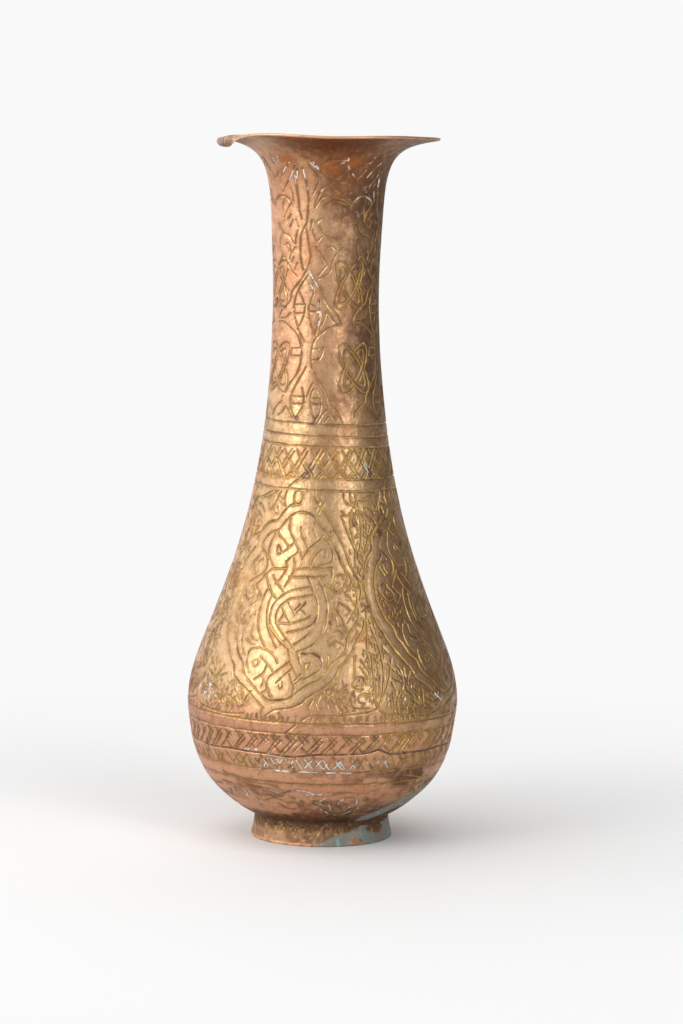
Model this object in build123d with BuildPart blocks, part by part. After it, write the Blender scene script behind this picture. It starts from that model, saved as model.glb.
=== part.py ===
"""Long-necked brass vase: a raised upper body lapped over a hammered bowl, on a soldered foot ring.

Millimetres, +Z up. The origin is the centre of the circle that the foot rests on, and the front faces -Y.
Each piece is a body of revolution, drawn as a profile in the XZ plane, where X is the radius.
"""

from build123d import *
import os

# Driving dimensions of the outer skin
HEIGHT = 250.0
LIP_RADIUS = 39.5
NECK_RADIUS = 18.8
NECK_HEIGHT = 192.0
FLARE_RADIUS = 19.75
FLARE_HEIGHT = 222.0
FLARE_NECK_PULL = 22.0
FLARE_LIP_PULL = 15.8
FLARE_DROP = 2.4
BELLY_RADIUS = 48.4
BELLY_HEIGHT = 49.0
SEAM_RADIUS = 46.8
SEAM_HEIGHT = 36.5
WAIST_RADIUS = 24.1
WAIST_HEIGHT = 8.3
FLOOR_RADIUS = 14.0
FLOOR_HEIGHT = 6.0
FOOT_RADIUS = 25.5

# Sheet thicknesses, and the lap where the bowl's turned-in edge sits inside the upper body
WALL = 1.0
FOOT_WALL = 1.3
LAP_LENGTH = 5.0
LAP_LEAN = 0.14
BRAZE_GAP = 0.15
BEAD_WIDTH = 0.8
BEAD_PROUD = 0.12
JOGGLE_HEIGHT = 0.3

# The foot strip's top edge, the solder round it, and the slanted joint where the strip's ends meet
FOOT_TOP = 7.2
FOOT_MIDDLE = (24.6, 3.9)
FOOT_EDGE_ROUND = 0.35
SOLDER_LEG = 0.9
SOLDER_HOLLOW = 0.25
STRIP_JOINT_WIDTH = 0.5
STRIP_JOINT_X = -1.4
STRIP_JOINT_SLANT = 30.0

# How many spans the inner faces are drawn with
SKIN_SPANS = 20
FLARE_SPANS = 10
BOWL_SPANS = 10

# Ruled lines that border the engraved bands
SHOULDER_LINES = (149.5, 145.3, 141.6, 130.7, 126.6, 47.6, 43.8)
BOWL_LINES = (30.2, 25.5)
LINE_RADIUS = 0.35


def on_lap(depth, rise):
    """A point on the straight stretch of skin at the seam: depth inside the skin, rise above the seam."""
    return (SEAM_RADIUS - depth + rise * LAP_LEAN, SEAM_HEIGHT + rise)


def radius_at(curve, height):
    """The radius of a rising profile curve at a height, found by halving its length."""
    low, high = 0.0, 1.0
    for _ in range(30):
        middle = (low + high) / 2
        if (curve @ middle).Y < height:
            low = middle
        else:
            high = middle
    return (curve @ low).X


def groove_centres(curve, heights):
    """Where the ruled lines cross a profile curve."""
    return [(radius_at(curve, height), height) for height in heights]


def inset(curve, thickness, spans):
    """Points a sheet's thickness to the left of a profile curve, evenly spread along it."""
    points = []
    for step in range(spans + 1):
        along = curve % (step / spans)
        points.append(curve @ (step / spans) + Vector(-along.Y, along.X) * thickness)
    return points


# Upper body: belly, shoulder, neck and flared lip, raised from one sheet
shoulder_points = (
    on_lap(0, LAP_LENGTH + 1),
    (BELLY_RADIUS, BELLY_HEIGHT),
    (46.9, 60.0),
    (39.6, 80.0),
    (32.3, 100.0),
    (26.7, 120.0),
    (22.8, 140.0),
    (20.3, 160.0),
    (19.3, 176.0),
    (NECK_RADIUS, NECK_HEIGHT),
    (19.1, 207.0),
    (FLARE_RADIUS, FLARE_HEIGHT),
)

with BuildPart() as upper_body:
    with BuildSketch(Plane.XZ):
        with BuildLine():
            lap = Line(on_lap(0, BEAD_WIDTH / 2), shoulder_points[0])
            skin = Spline(shoulder_points)
            flare = Bezier(
                skin @ 1,
                skin @ 1 + (skin % 1) * FLARE_NECK_PULL,
                (LIP_RADIUS - FLARE_LIP_PULL, HEIGHT - WALL - FLARE_DROP),
                (LIP_RADIUS, HEIGHT - WALL),
            )
            lining = Spline(inset(skin, WALL, SKIN_SPANS)[:-1] + inset(flare, WALL, FLARE_SPANS))
            Polyline(lap @ 0, inset(lap, WALL, 1)[0], lining @ 0)
            Line(flare @ 1, lining @ 1)
        make_face()
    revolve(axis=Axis.Z)
    fillet(upper_body.edges().filter_by(GeomType.CIRCLE).group_by(Axis.Z)[-1], radius=WALL * 0.4)
    with BuildSketch(Plane.XZ):
        with Locations(*groove_centres(skin, SHOULDER_LINES)):
            Circle(LINE_RADIUS)
    revolve(axis=Axis.Z, mode=Mode.SUBTRACT)

# Lower bowl: a hammered dish whose edge is turned in to pass inside the upper body
bowl_points = (
    (FLOOR_RADIUS, FLOOR_HEIGHT),
    (WAIST_RADIUS, WAIST_HEIGHT),
    (34.2, 15.0),
    (41.2, 22.5),
    (44.9, 30.0),
    on_lap(0, -BEAD_WIDTH / 2),
)

with BuildPart() as lower_bowl:
    with BuildSketch(Plane.XZ):
        with BuildLine():
            skin = Spline(bowl_points)
            lining = Spline(*inset(skin, WALL, BOWL_SPANS)[:-1], on_lap(WALL, -BEAD_WIDTH))
            Polyline(
                skin @ 0,
                (0, FLOOR_HEIGHT),
                (0, FLOOR_HEIGHT + WALL),
                lining @ 0,
            )
            Polyline(
                skin @ 1,
                on_lap(WALL + BRAZE_GAP, JOGGLE_HEIGHT),
                on_lap(WALL + BRAZE_GAP, LAP_LENGTH),
                on_lap(WALL * 2 + BRAZE_GAP, LAP_LENGTH),
                on_lap(WALL * 2 + BRAZE_GAP, 0),
                lining @ 1,
            )
        make_face()
    revolve(axis=Axis.Z)
    with BuildSketch(Plane.XZ):
        with Locations(*groove_centres(skin, BOWL_LINES)):
            Circle(LINE_RADIUS)
    revolve(axis=Axis.Z, mode=Mode.SUBTRACT)

# Belly braze: the film of hard solder in the lap, with the bead that shows round the outside
with BuildPart() as belly_braze:
    with BuildSketch(Plane.XZ):
        with BuildLine():
            bead = ThreePointArc(
                on_lap(0, -BEAD_WIDTH / 2),
                on_lap(-BEAD_PROUD, 0),
                on_lap(0, BEAD_WIDTH / 2),
            )
            Polyline(
                bead @ 1,
                on_lap(WALL / 2, BEAD_WIDTH),
                on_lap(WALL / 2, LAP_LENGTH),
                on_lap(WALL * 1.5, LAP_LENGTH),
                on_lap(WALL * 1.5, JOGGLE_HEIGHT),
                on_lap(WALL / 2, -BEAD_WIDTH / 2),
                bead @ 0,
            )
        make_face()
    revolve(axis=Axis.Z)
    add(upper_body.part, mode=Mode.SUBTRACT)
    add(lower_bowl.part, mode=Mode.SUBTRACT)

# Foot: a flared ring bent from strip, cut along the slanted joint where its two ends meet
with BuildPart() as foot_blank:
    with BuildSketch(Plane.XZ):
        with BuildLine():
            flare = ThreePointArc((FOOT_RADIUS, 0), FOOT_MIDDLE, (WAIST_RADIUS, FOOT_TOP))
            Polyline(
                flare @ 0,
                (FOOT_RADIUS - FOOT_WALL, 0),
                (WAIST_RADIUS - FOOT_WALL, FOOT_TOP),
                flare @ 1,
            )
        make_face()
    revolve(axis=Axis.Z)
    fillet(foot_blank.edges().filter_by(GeomType.CIRCLE).group_by(Axis.Z)[0], radius=FOOT_EDGE_ROUND)

with BuildPart() as strip_gap:
    with Locations(Location((STRIP_JOINT_X, -WAIST_RADIUS, FOOT_TOP / 2), (0, STRIP_JOINT_SLANT, 0))):
        Box(STRIP_JOINT_WIDTH, FOOT_WALL * 6, FOOT_TOP * 2)

with BuildPart() as foot_ring:
    add(foot_blank.part)
    add(strip_gap.part, mode=Mode.SUBTRACT)

with BuildPart() as foot_strip_joint:
    add(foot_blank.part)
    add(strip_gap.part, mode=Mode.INTERSECT)

# Foot solder: the fillet inside and outside the foot's top edge, which holds it to the bowl
with BuildPart() as foot_solder:
    with BuildSketch(Plane.XZ):
        with BuildLine():
            outer_fillet = SagittaArc(
                (WAIST_RADIUS + SOLDER_LEG, WAIST_HEIGHT + SOLDER_LEG),
                (WAIST_RADIUS, FOOT_TOP - SOLDER_LEG),
                -SOLDER_HOLLOW,
            )
            inner_fillet = SagittaArc(
                (WAIST_RADIUS - FOOT_WALL, FOOT_TOP - SOLDER_LEG),
                (WAIST_RADIUS - FOOT_WALL - SOLDER_LEG, FOOT_TOP),
                -SOLDER_HOLLOW,
            )
            Line(outer_fillet @ 1, inner_fillet @ 0)
            Polyline(
                inner_fillet @ 1,
                (WAIST_RADIUS - FOOT_WALL - SOLDER_LEG, WAIST_HEIGHT),
                outer_fillet @ 0,
            )
        make_face()
    revolve(axis=Axis.Z)
    add(lower_bowl.part, mode=Mode.SUBTRACT)
    add(foot_blank.part, mode=Mode.SUBTRACT)

pieces = {
    "upper_body": upper_body,
    "lower_bowl": lower_bowl,
    "belly_braze": belly_braze,
    "foot_ring": foot_ring,
    "foot_strip_joint": foot_strip_joint,
    "foot_solder": foot_solder,
}

os.makedirs("parts", exist_ok=True)
for name, piece in pieces.items():
    piece.part.label = name
    export_step(piece.part, f"parts/{name}.step")
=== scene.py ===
"""An engraved brass vase, lit as in a small studio.

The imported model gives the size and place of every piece. The outside of each sheet-metal piece is read from
it as a profile, engraved in numpy as a relief over azimuth and height, and closed into a mesh with a wall.

Azimuth is in degrees from the front (-Y), positive to the right. Lengths are in millimetres until a mesh
is written. A stroke is a run of azimuth, height pairs, and a repeated pair makes a corner.
"""

import math

import bpy
import numpy as np
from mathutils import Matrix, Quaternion, Vector
from mathutils.bvhtree import BVHTree


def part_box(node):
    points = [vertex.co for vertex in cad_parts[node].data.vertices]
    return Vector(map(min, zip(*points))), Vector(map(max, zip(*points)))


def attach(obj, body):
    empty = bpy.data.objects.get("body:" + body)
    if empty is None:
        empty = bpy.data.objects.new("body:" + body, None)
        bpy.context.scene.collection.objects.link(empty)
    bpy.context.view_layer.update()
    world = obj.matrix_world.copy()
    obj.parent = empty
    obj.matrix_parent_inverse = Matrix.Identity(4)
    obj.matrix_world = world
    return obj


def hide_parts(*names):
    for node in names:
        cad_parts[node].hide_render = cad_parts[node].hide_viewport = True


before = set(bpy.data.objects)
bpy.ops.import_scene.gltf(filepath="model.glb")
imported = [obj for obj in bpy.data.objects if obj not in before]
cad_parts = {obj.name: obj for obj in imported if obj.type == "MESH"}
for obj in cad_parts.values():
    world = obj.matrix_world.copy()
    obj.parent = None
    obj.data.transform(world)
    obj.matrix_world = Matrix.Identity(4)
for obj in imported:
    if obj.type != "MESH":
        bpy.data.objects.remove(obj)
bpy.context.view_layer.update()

METRE = 1000.0
SEED = 20

# Sheet thicknesses and the lap at the seam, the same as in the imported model
WALL = 1.0
FOOT_WALL = 1.3
LAP_CLEARANCE = 0.15
LAP_LENGTH = 5.0

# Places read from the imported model
LIP_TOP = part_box("upper_body")[1].z * METRE
LIP_RADIUS = METRE * max(
    math.hypot(vertex.co.x, vertex.co.y)
    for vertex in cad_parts["upper_body"].data.vertices
    if vertex.co.z * METRE > LIP_TOP - 2
)
SEAM_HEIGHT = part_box("lower_bowl")[1].z * METRE - LAP_LENGTH
FOOT_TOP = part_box("foot_ring")[1].z * METRE
FOOT_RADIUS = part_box("foot_ring")[1].x * METRE

# Grid of the engraved skins: points round a ring and the length between rings
COLUMNS = 1024
ROW_PITCH = 0.28
# Rings above this height have half as many points
NECK_START = 127.3
# The skins stop this far from the seam, where the braze bead shows
EDGE_GAP = 0.35
# The bowl's skin starts at this radius
BOWL_GRID_RADIUS = 23.5
# Half the width of a smooth strap, which the chips keep clear of
STRAP_REACH = 1.5

# The ornament stands this much higher than it is drawn, half way up the vase
LIFT = 1.4
# How far the ruled lines drop on the right
RULE_TILT = 0.7

# ------------------------------------------------------------------------------------------------------
# Drawing of the ornament. One quarter is drawn at the front, then turned round the vase.
# ------------------------------------------------------------------------------------------------------
BODY_TURNS = (0, 86.5, 178, 268)
NECK_TURNS = (0, 91, 181, 271)
BOWL_TURNS = (0, 94, 184, 274)

UPPER_RULES = (148.2, 144.0, 140.3, 129.3, 125.2, 47.2, 43.4)
BOWL_RULES = (30.0, 25.4)

# The wide strap that frames each medallion
MEDALLION_FRAME = (
    (-20, 129.2, -24, 128.2, -28, 126.8, -31, 125, -32.3, 122.8, -31.8, 120.8, -30.5, 119.2),
    (-17.2, 124.9, -20.5, 125.1, -23.4, 124.4, -24.6, 122.6, -23.4, 120.8, -20.8, 120.1, -18.2, 120.9,
     -16.9, 122.8, -17.2, 124.9),
    (-22.5, 120.3, -27, 119.8, -31, 118, -36, 115, -42, 114, -47, 112.3, -51, 109.8, -52.8, 107,
     -53.5, 104.8, -57, 102.3, -60, 98.5, -61.5, 93, -61, 87, -58.5, 81.5, -54.5, 76, -50.5, 71, -47, 67.5,
     -44, 65, -42.3, 62, -39, 60, -34, 57.5, -30, 54.8, -25.5, 52),
    (-16, 117.7, -21, 117.3, -26, 116, -30, 114, -34.5, 111.4, -40, 110.3, -43.5, 108.7, -46.3, 106,
     -46, 103.3, -47.5, 101.5, -51, 99.7, -53.8, 96.5, -55.3, 91.5, -54.7, 86.5, -52, 81.5, -48.7, 78.5,
     -47.7, 75.5, -44.8, 71.7, -42, 68.8, -39.3, 66.7, -37.7, 63.8, -34.5, 61.3, -31.2, 59.4, -27.5, 56.7,
     -23, 54.6),
    (-23, 54.6, -18, 55.1, -13.5, 56, -9.5, 58.6, -6, 60.5, -1.5, 62.2, 1.5, 64.5, 4, 67.8, 8, 70,
     10.5, 72, 12, 76, 15.5, 79.5, 19, 83, 19.2, 88.5, 18.3, 92.5, 16.3, 95.8, 13.5, 98.5, 11.3, 100.8,
     9, 104.3, 5, 108.5, 0, 112, -5, 115, -9.5, 117.2, -16, 117.7),
    (-23.2, 50, -20, 51.6, -14, 52.5, -9, 54.2, -6, 56.3, -2.5, 58, 1.5, 60, 5, 63, 7.5, 66.3, 11.5, 69.3,
     14.5, 72.5, 17.5, 76, 20.5, 78.8, 21.8, 81.4, 20.4, 82.2),
    (20.5, 88.5, 22.2, 91, 21.5, 94, 19.3, 97, 17, 99.7, 16, 102, 12.5, 107, 8.5, 111, 4, 115, -1, 118.4,
     -5, 120.7, -7.2, 123, -7.6, 125),
    (-25.5, 52, -26, 50, -25.5, 47.3),
    (-15.6, 43.6, -10.8, 47.0),
    (-18.3, 50.8, -17.7, 49.3, -18.5, 48, -20.5, 47.3),
)

# The interlaced straps inside a medallion
INTERLACE = (
    (-34, 110.8, -31, 109, -28, 108, -25.5, 106.6, -23.8, 105.7),
    (-36.5, 110.4, -38.6, 107.5, -39.5, 105, -38.2, 102.3, -36, 100.5, -33.5, 99.1),
    (-29.5, 103.4, -31.5, 103.2, -32.7, 104.4, -32.4, 106, -30.6, 105.2, -29.5, 104.3, -28, 103.8,
     -25, 105, -20.6, 107.4),
    (-45.5, 104.4, -42.5, 103.2, -39.5, 101.4, -38, 99.6, -38.6, 97.6, -41.5, 96, -45.5, 94.4, -50, 92.8),
    (-24, 98.6, -29, 98.3, -34, 98, -37, 96.4, -40.5, 94, -42.8, 92.2, -41, 90.6, -38, 88.8),
    (-25, 115.2, -25.4, 113, -24, 110.8, -21.5, 108.8, -18, 105.8, -14.5, 103.1),
    (-17, 112.6, -15.6, 110.2, -13, 107.6, -10.3, 105.4),
    (-14.8, 99.4, -14.1, 101.5, -12, 103.6, -9.5, 105.4, -6, 107.2, -3, 108.6, -0.8, 109.8),
    (-8.4, 99.4, -7, 101.4, -4.8, 103.4, -1.8, 104.6),
    (0.5, 109.2, 3, 107.5, 5.4, 105.2, 5.9, 103, 4.2, 101.2, 0.8, 100.3, -3, 99.9),
    (-7, 114, -7.3, 111.6, -4.6, 109),
    (-18.4, 98.6, -10, 98.8, -2, 98.8, 5.4, 98.9),
    (-21.5, 95.8, -14, 95.8, -7, 96, 1, 95.9),
    (5.2, 98.6, 5.2, 96.4, 4.2, 94.4, 2.6, 92.8),
    (-29.4, 93.4, -27, 94.8, -25, 96.6, -23.8, 98.8, -24.6, 100.8, -24.6, 100.8, -22, 102.2, -19, 103.4,
     -16.8, 104.6),
    (-19.5, 102, -18.4, 100, -18.8, 97.6, -20.4, 95.4, -23.2, 92.4),
    (-8, 92.7, -14, 91.7, -20, 90.8, -24.5, 89.2, -27.8, 86.8, -29.2, 84, -28.8, 81, -26.5, 78.3,
     -22.5, 75.8, -18.5, 73.4, -16.2, 72.3),
    (-5.6, 90.2, -11, 89.4, -17, 88.7, -21.5, 87.4, -24.5, 85.4, -25.7, 82.8, -25, 80.4, -22.5, 78.5,
     -18.5, 76, -15.5, 73.9, -14.4, 72.6),
    (-9.2, 95.6, -6.6, 92.2, -4.2, 89.4, -3, 86.4, -2.9, 83.4, -4, 80.4, -6.5, 77.6, -9.8, 75.5,
     -14.2, 73.3),
    (-3.6, 95.6, -0.6, 92.6, 1.5, 89, 2.3, 85.4, 1.8, 81.5, 0, 78, -3, 75.1, -7, 72.8, -11.6, 71.3),
    (-25, 80.2, -20, 80.3, -15.5, 80.6, -11, 81.4, -6.6, 83),
    (-18, 77.4, -12.5, 78.2, -7.8, 79.4, -5, 81, -3.6, 83.4),
    (-33, 92.2, -35.4, 89.4, -36.3, 86, -36, 82, -34.5, 78.5, -32, 75.4, -28.6, 72.2),
    (-30.4, 89.2, -31.5, 86, -31.3, 83, -30.2, 80.2, -28.4, 78, -25.6, 75.2, -22.6, 72.5),
    (-29, 79.6, -26, 77.2, -22, 74.8, -17.6, 72.5),
    (-37, 95.4, -34, 92.3, -30, 89.8, -27.2, 88.3),
    (-32.2, 96, -28.4, 93.6, -23.8, 90.9),
    (-37, 69, -36.2, 70.9, -33, 71.6, -29, 71.6, -25.5, 70.8, -22.6, 69.4, -20.8, 67.4),
    (-36.9, 69, -36.6, 66.6, -35.6, 64.9, -34.6, 63.4),
    (-30.3, 69.2, -28, 68.1, -25, 66.4, -22.2, 64.5),
    (-25.8, 66, -27.4, 63.4, -31.2, 61.2),
    (-14.8, 68.2, -18, 66.4, -21, 64.4, -23.9, 62.2, -24.5, 60, -23.2, 57.6, -21.8, 56),
    (-13.6, 65.7, -17, 63.4, -20.2, 60.8),
    (-14.6, 64, -13.4, 62, -12.2, 60, -12.6, 57),
    (-16.5, 72.4, -15.2, 69.5, -14, 66.8, -12.2, 64.6, -10.4, 63),
    (-12, 71.2, -10.6, 68.6, -9.2, 66.4, -7.4, 64.8),
    (-12, 71.2, -8, 70.5, -4.6, 70.8, -1.8, 69.8, -0.4, 67.8, -1.2, 65.8, -4.2, 63.9, -8.6, 62),
)

# Pairs of strokes with a smooth strap between them
FRAME_STRAPS = ((MEDALLION_FRAME[2], MEDALLION_FRAME[3]), (MEDALLION_FRAME[4], MEDALLION_FRAME[5]))
INTERLACE_STRAPS = tuple(
    (INTERLACE[first], INTERLACE[second])
    for first, second in ((5, 6), (7, 8), (11, 12), (16, 17), (18, 19), (20, 21), (22, 23), (25, 26))
)

# Eyelets, keys and hatching on the ground between the straps
MEDALLION_GROUND = (
    (-0.5, 103, 1.6, 103, 1, 105, -0.5, 103),
    (-31.2, 68.1, -33.2, 67.4, -32.2, 65.6, -30.4, 66.4, -31.2, 68.1),
    (-19.4, 60.4, -18.6, 58.8, -17.2, 59.6, -17.4, 61.3),
    (-8, 67.3, -5.3, 67.6, -7.3, 65.2, -8, 67.3),
    (-50, 99, -48.5, 97.4, -46.8, 95.9),
    (-42.8, 101, -46.3, 99.6, -46, 98, -44.5, 96.7),
    (-47.6, 92.2, -44.6, 90.5, -43.2, 89, -44.6, 87.6, -47.6, 87.2, -50, 88.4, -52, 90.8),
    (-38, 88.6, -40.4, 87, -44, 85.4),
    (-19.5, 87.2, -15.2, 83.6),
    (-22.8, 85.6, -17, 80.4),
    (-9.4, 87.6, -15.6, 83),
    (-12.6, 86.8, -16, 84.2),
    (-21, 84, -23.4, 81),
    (-12, 85.2, -9.4, 83.8),
    (-38.6, 79.2, -38.2, 76.2, -36.4, 74.8, -33.4, 74.2),
    (-39.6, 74.2, -37, 73.2, -34.4, 72.8),
    (-42, 79.2, -43.6, 76.4, -42.8, 73.4, -41, 71, -38.4, 69),
    (-46.5, 80.8, -43, 83),
    (-12.8, 61.4, -9.4, 63.8),
    (-12.6, 60.2, -8.8, 62.6),
    (2.2, 70.2, 2, 67.4, 0.4, 65),
    (-27.4, 63, -26.3, 61, -27.2, 59),
    (-26.4, 57.1, -24, 58.4),
    (2.4, 92.8, 5, 91.4, 8.4, 91, 11.2, 93, 14, 95.6, 13, 98),
    (12.4, 96.8, 9.4, 97, 7, 96, 7.4, 94.4, 9.6, 93.5),
    (13, 90.4, 16, 93.4, 17.4, 95),
    (13, 90.2, 16, 88, 18.6, 86, 18.6, 86, 15.6, 83.6, 12.4, 81),
    (5.2, 88, 8.4, 84, 10.8, 80.6, 11.6, 78),
    (8.6, 87.4, 12, 86.2, 14.6, 84.6, 12, 83.4),
    (3.6, 86, 6, 83.2, 7.2, 80.2),
    (4, 76.4, 5.6, 78, 8, 78.2, 10, 77),
    (3, 73.4, 6.5, 74.5, 9.2, 73.6),
    (-4.5, 117.2, -2, 119.6, 0, 121),
    (-6, 118.6, -3.6, 121.2),
    (-18, 75.4, -20.6, 73.4),
    (-37, 124.4, -39.4, 122.4, -41, 120.4, -41.4, 118, -39.6, 116.6, -37, 116.8),
    (-36.6, 122.2, -32.4, 121.2),
    (-37.4, 120.8, -33, 119.8),
    (-38.4, 119.2, -37, 117.2),
    (-48, 119.6, -46, 118, -43.6, 118.8, -41.6, 120.6),
    (-40, 124.8, -44.6, 123.2, -50, 122, -58, 121.4),
)

# Foliage between two medallions
SPANDREL = (
    (23, 80.4, 21.6, 74, 21, 68, 21.2, 62, 22.2, 56, 23.6, 52.4),
    (24.8, 79.4, 27.4, 72.4, 28, 66, 27.2, 60, 25.8, 56, 24, 52.4),
    (23.2, 70, 22.8, 62, 23.4, 55.6),
    (25.6, 66.4, 25.2, 60, 24.4, 55.4),
    (22, 75, 26.4, 73.6),
    (21.6, 71.6, 24.4, 70.4),
    (33, 68.4, 31.2, 64, 28.2, 58.6, 24.8, 53.8),
    (16.5, 66.6, 18.6, 64.4, 20.2, 62.2),
    (17.4, 68.4, 20.4, 65),
    (14.8, 70.2, 14, 66, 14, 62.6),
    (19.6, 61.6, 17, 63, 14, 62.4, 12.8, 60.4, 14.4, 58.8, 17, 59),
    (20.6, 57, 17.4, 57.4, 15, 56.4, 15.2, 54.6, 17.4, 54.4),
    (13.4, 58.6, 11.4, 56, 12, 53.6, 15, 52.3, 19.4, 52.5),
    (10, 60.4, 8, 57.4, 8, 54.4, 10.2, 52),
    (5.6, 60.8, 5, 57.4, 6, 54, 8, 51.6),
    (2.4, 58.8, 2, 55.4, 3.4, 52.2),
    (-1, 57.6, -2.4, 54.6, -1.4, 52.2),
    (-4, 55.6, -5.6, 53, -5, 51.2),
    (35.2, 66.4, 37.2, 62.4, 36.2, 58.6, 34.4, 57.4),
    (40.2, 61.6, 38.4, 60, 39, 57.8),
    (31.4, 60.6, 33.2, 57.6),
    (33.4, 50.6, 33, 54, 35, 57, 38.6, 57.4, 41.2, 56, 42.2, 53, 40.4, 50.6),
    (36.8, 55.2, 35.6, 53.4, 37.4, 51.6, 38.8, 53.4),
    (45, 58, 44.6, 54, 43.6, 51.2),
    (47.4, 57.4, 47.2, 51.4),
    (31, 57, 31.4, 51),
    (50, 55.6, 50.2, 51.6),
    (29.4, 72.6, 31.6, 70.6),
    (30.6, 66.8, 33.6, 64.4),
    (23.6, 52.2, 18, 50.8, 10, 50.2, 0, 50.3, -5.4, 50, -8.4, 48.2),
    (23.6, 52.2, 28, 50.2, 34, 49.4, 42, 48.9, 50, 48.8, 57.6, 49.6),
    (27.4, 121, 22.6, 119.6, 20, 117, 19.3, 113, 20, 108.8, 21.4, 105.8, 23, 104),
    (27.2, 118.4, 27.2, 113, 26, 108, 24.2, 104.6, 22.2, 102.2),
    (22.4, 117.4, 24.6, 113.2),
    (21, 115.4, 24.4, 111.6),
    (22, 109.4, 24.6, 110.2),
    (20, 117.6, 16, 116.4, 12.8, 118.2),
    (12.8, 116.6, 15.6, 112.4, 19, 107.6, 21.4, 104.8),
    (27.6, 118, 31, 115.6, 34.6, 113),
    (33, 116.6, 37.4, 115.3, 40, 113.4),
    (36.2, 111.6, 32.4, 109, 30, 107, 28.2, 104.4),
    (23.2, 104.4, 26, 102.2, 25, 98.6, 22.4, 98),
    (21.2, 104.2, 20.2, 101.6, 19.6, 99.6),
    (14.8, 124.2, 16, 121.8, 18.6, 120.4),
    (20.4, 124.4, 21.2, 121.6),
    (24, 124.4, 25.6, 122),
    (20.4, 120.2, 25.4, 121.3, 33, 122, 42, 123.6, 47, 124.8),
    (31.4, 119.4, 36, 119, 40, 117),
    (49, 124.4, 47.6, 121),
    (21.8, 81, 24, 80.6, 26.6, 82.4, 27.2, 84.6, 25.8, 86, 23.4, 86.2),
    (20.5, 88.6, 23.8, 89.2),
    (22.4, 91.4, 23, 94, 25.4, 96, 24, 98.4),
)

# Sprays of leaf strokes: azimuth, height, reach, first and last direction, count
FANS = (
    (38.5, 60, 5.2, 25, 155, 5),
    (47.5, 50.4, 6.4, 50, 140, 5),
    (56, 52, 6.0, 60, 150, 4),
    (31, 108, 6.5, 15, 80, 4),
)

# Ground that is chipped all over: azimuth, height, half width in degrees, half height, pitch of the chips
CHIP_ZONES = (
    (25, 92, 9, 32, 1.15),
    (12, 57, 12, 6, 1.3),
    (10, 84, 8, 14, 1.5),
    (-46, 84, 7, 9, 2.0),
    (44, 55, 16, 6, 1.3),
)
# The chips' lean from level, as mean and spread in degrees, their length, and their distance from a cut
CHIP_LEAN = (78, 26)
CHIP_LENGTH = (0.6, 1.7)
CHIP_CLEARANCE = 0.3

# Straps that weave up the neck, with the lenses and circles they make
NECK_STRAPS = (
    (-29, 238.5, -31, 234, -30.3, 229, -28.5, 224, -26, 221),
    (-23, 238.5, -21, 234, -18.8, 229.5, -18.8, 225, -20.5, 220.5, -22, 218),
    (-22.6, 219, -26, 216.5, -28, 213, -28.3, 209, -27, 205.5, -25, 203),
    (-22, 218.5, -20, 215, -18, 211, -16.4, 208, -18, 205.2, -22, 202.4, -27, 200, -33, 197.5, -39, 195.3,
     -41, 193.3, -43, 191.5, -47, 190.3, -53, 189, -58, 187, -61, 185.4),
    (-20.5, 201, -26, 198.3, -31, 195.3, -35, 192.5, -37, 189.3),
    (-19.4, 203, -14, 199.8, -9.5, 197.5, -5, 196, -2.5, 193.5, 1, 191, 6, 189, 11, 187.5, 14.5, 185.6,
     16, 183.9),
    (-18, 198.4, -13.5, 195.8),
    (-61, 184, -52, 184.2, -45, 183, -38, 181.5, -32, 179.5, -28, 177.3, -26.5, 174.5, -26.3, 171.5,
     -28, 168, -32, 165, -38, 162.5, -43, 160.5, -48, 157.5, -49, 156, -54, 154.8, -59, 153, -62, 150.8),
    (16, 183.8, 9, 183.3, 2, 182.3, -4, 180.8, -9, 179.3, -13, 177, -15.5, 174, -15.5, 171, -13, 168,
     -10, 165.2, -5, 162.5, -1, 160.5, 2, 158, 4.5, 155.3, 8, 154, 12, 151.8, 16, 148.8),
    (-31, 182, -27, 180, -23, 177.3),
    (-20, 168.5, -26, 165, -31, 162, -35.5, 159, -37, 156, -35, 153, -31.5, 150.8, -29.5, 149.8),
    (-24, 161, -21.8, 157.5, -22.5, 154.5, -26, 152, -29, 150),
    (-12, 160.5, -14.4, 158, -14, 155, -12, 152, -10, 150, -11, 148.6),
    (-8.5, 161, -5.5, 158.5, -4.6, 155.5, -6, 152.5, -9, 150.3, -10.5, 148.8),
    (-36, 189.5, -35.5, 187, -33, 184, -30.3, 182),
    (-23, 190.6, -23.5, 188, -25.3, 186, -28, 184, -30.2, 182.8),
    (-19, 190.4, -18, 186.5, -16, 183, -12.8, 180.6),
    (-7.5, 192, -6.5, 189, -6.5, 186, -8.5, 183.5, -10.8, 181, -11, 179.8),
    (-64, 227.3, -57, 228.8, -50, 229, -43, 228, -39, 226.5),
    (-12, 225, -7, 227.5, -2, 229, 5, 229.4, 12, 228.6, 18, 227.8, 24, 226),
    (-3, 225.6, 4, 227, 12, 227.2, 19, 226.4),
)

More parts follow.
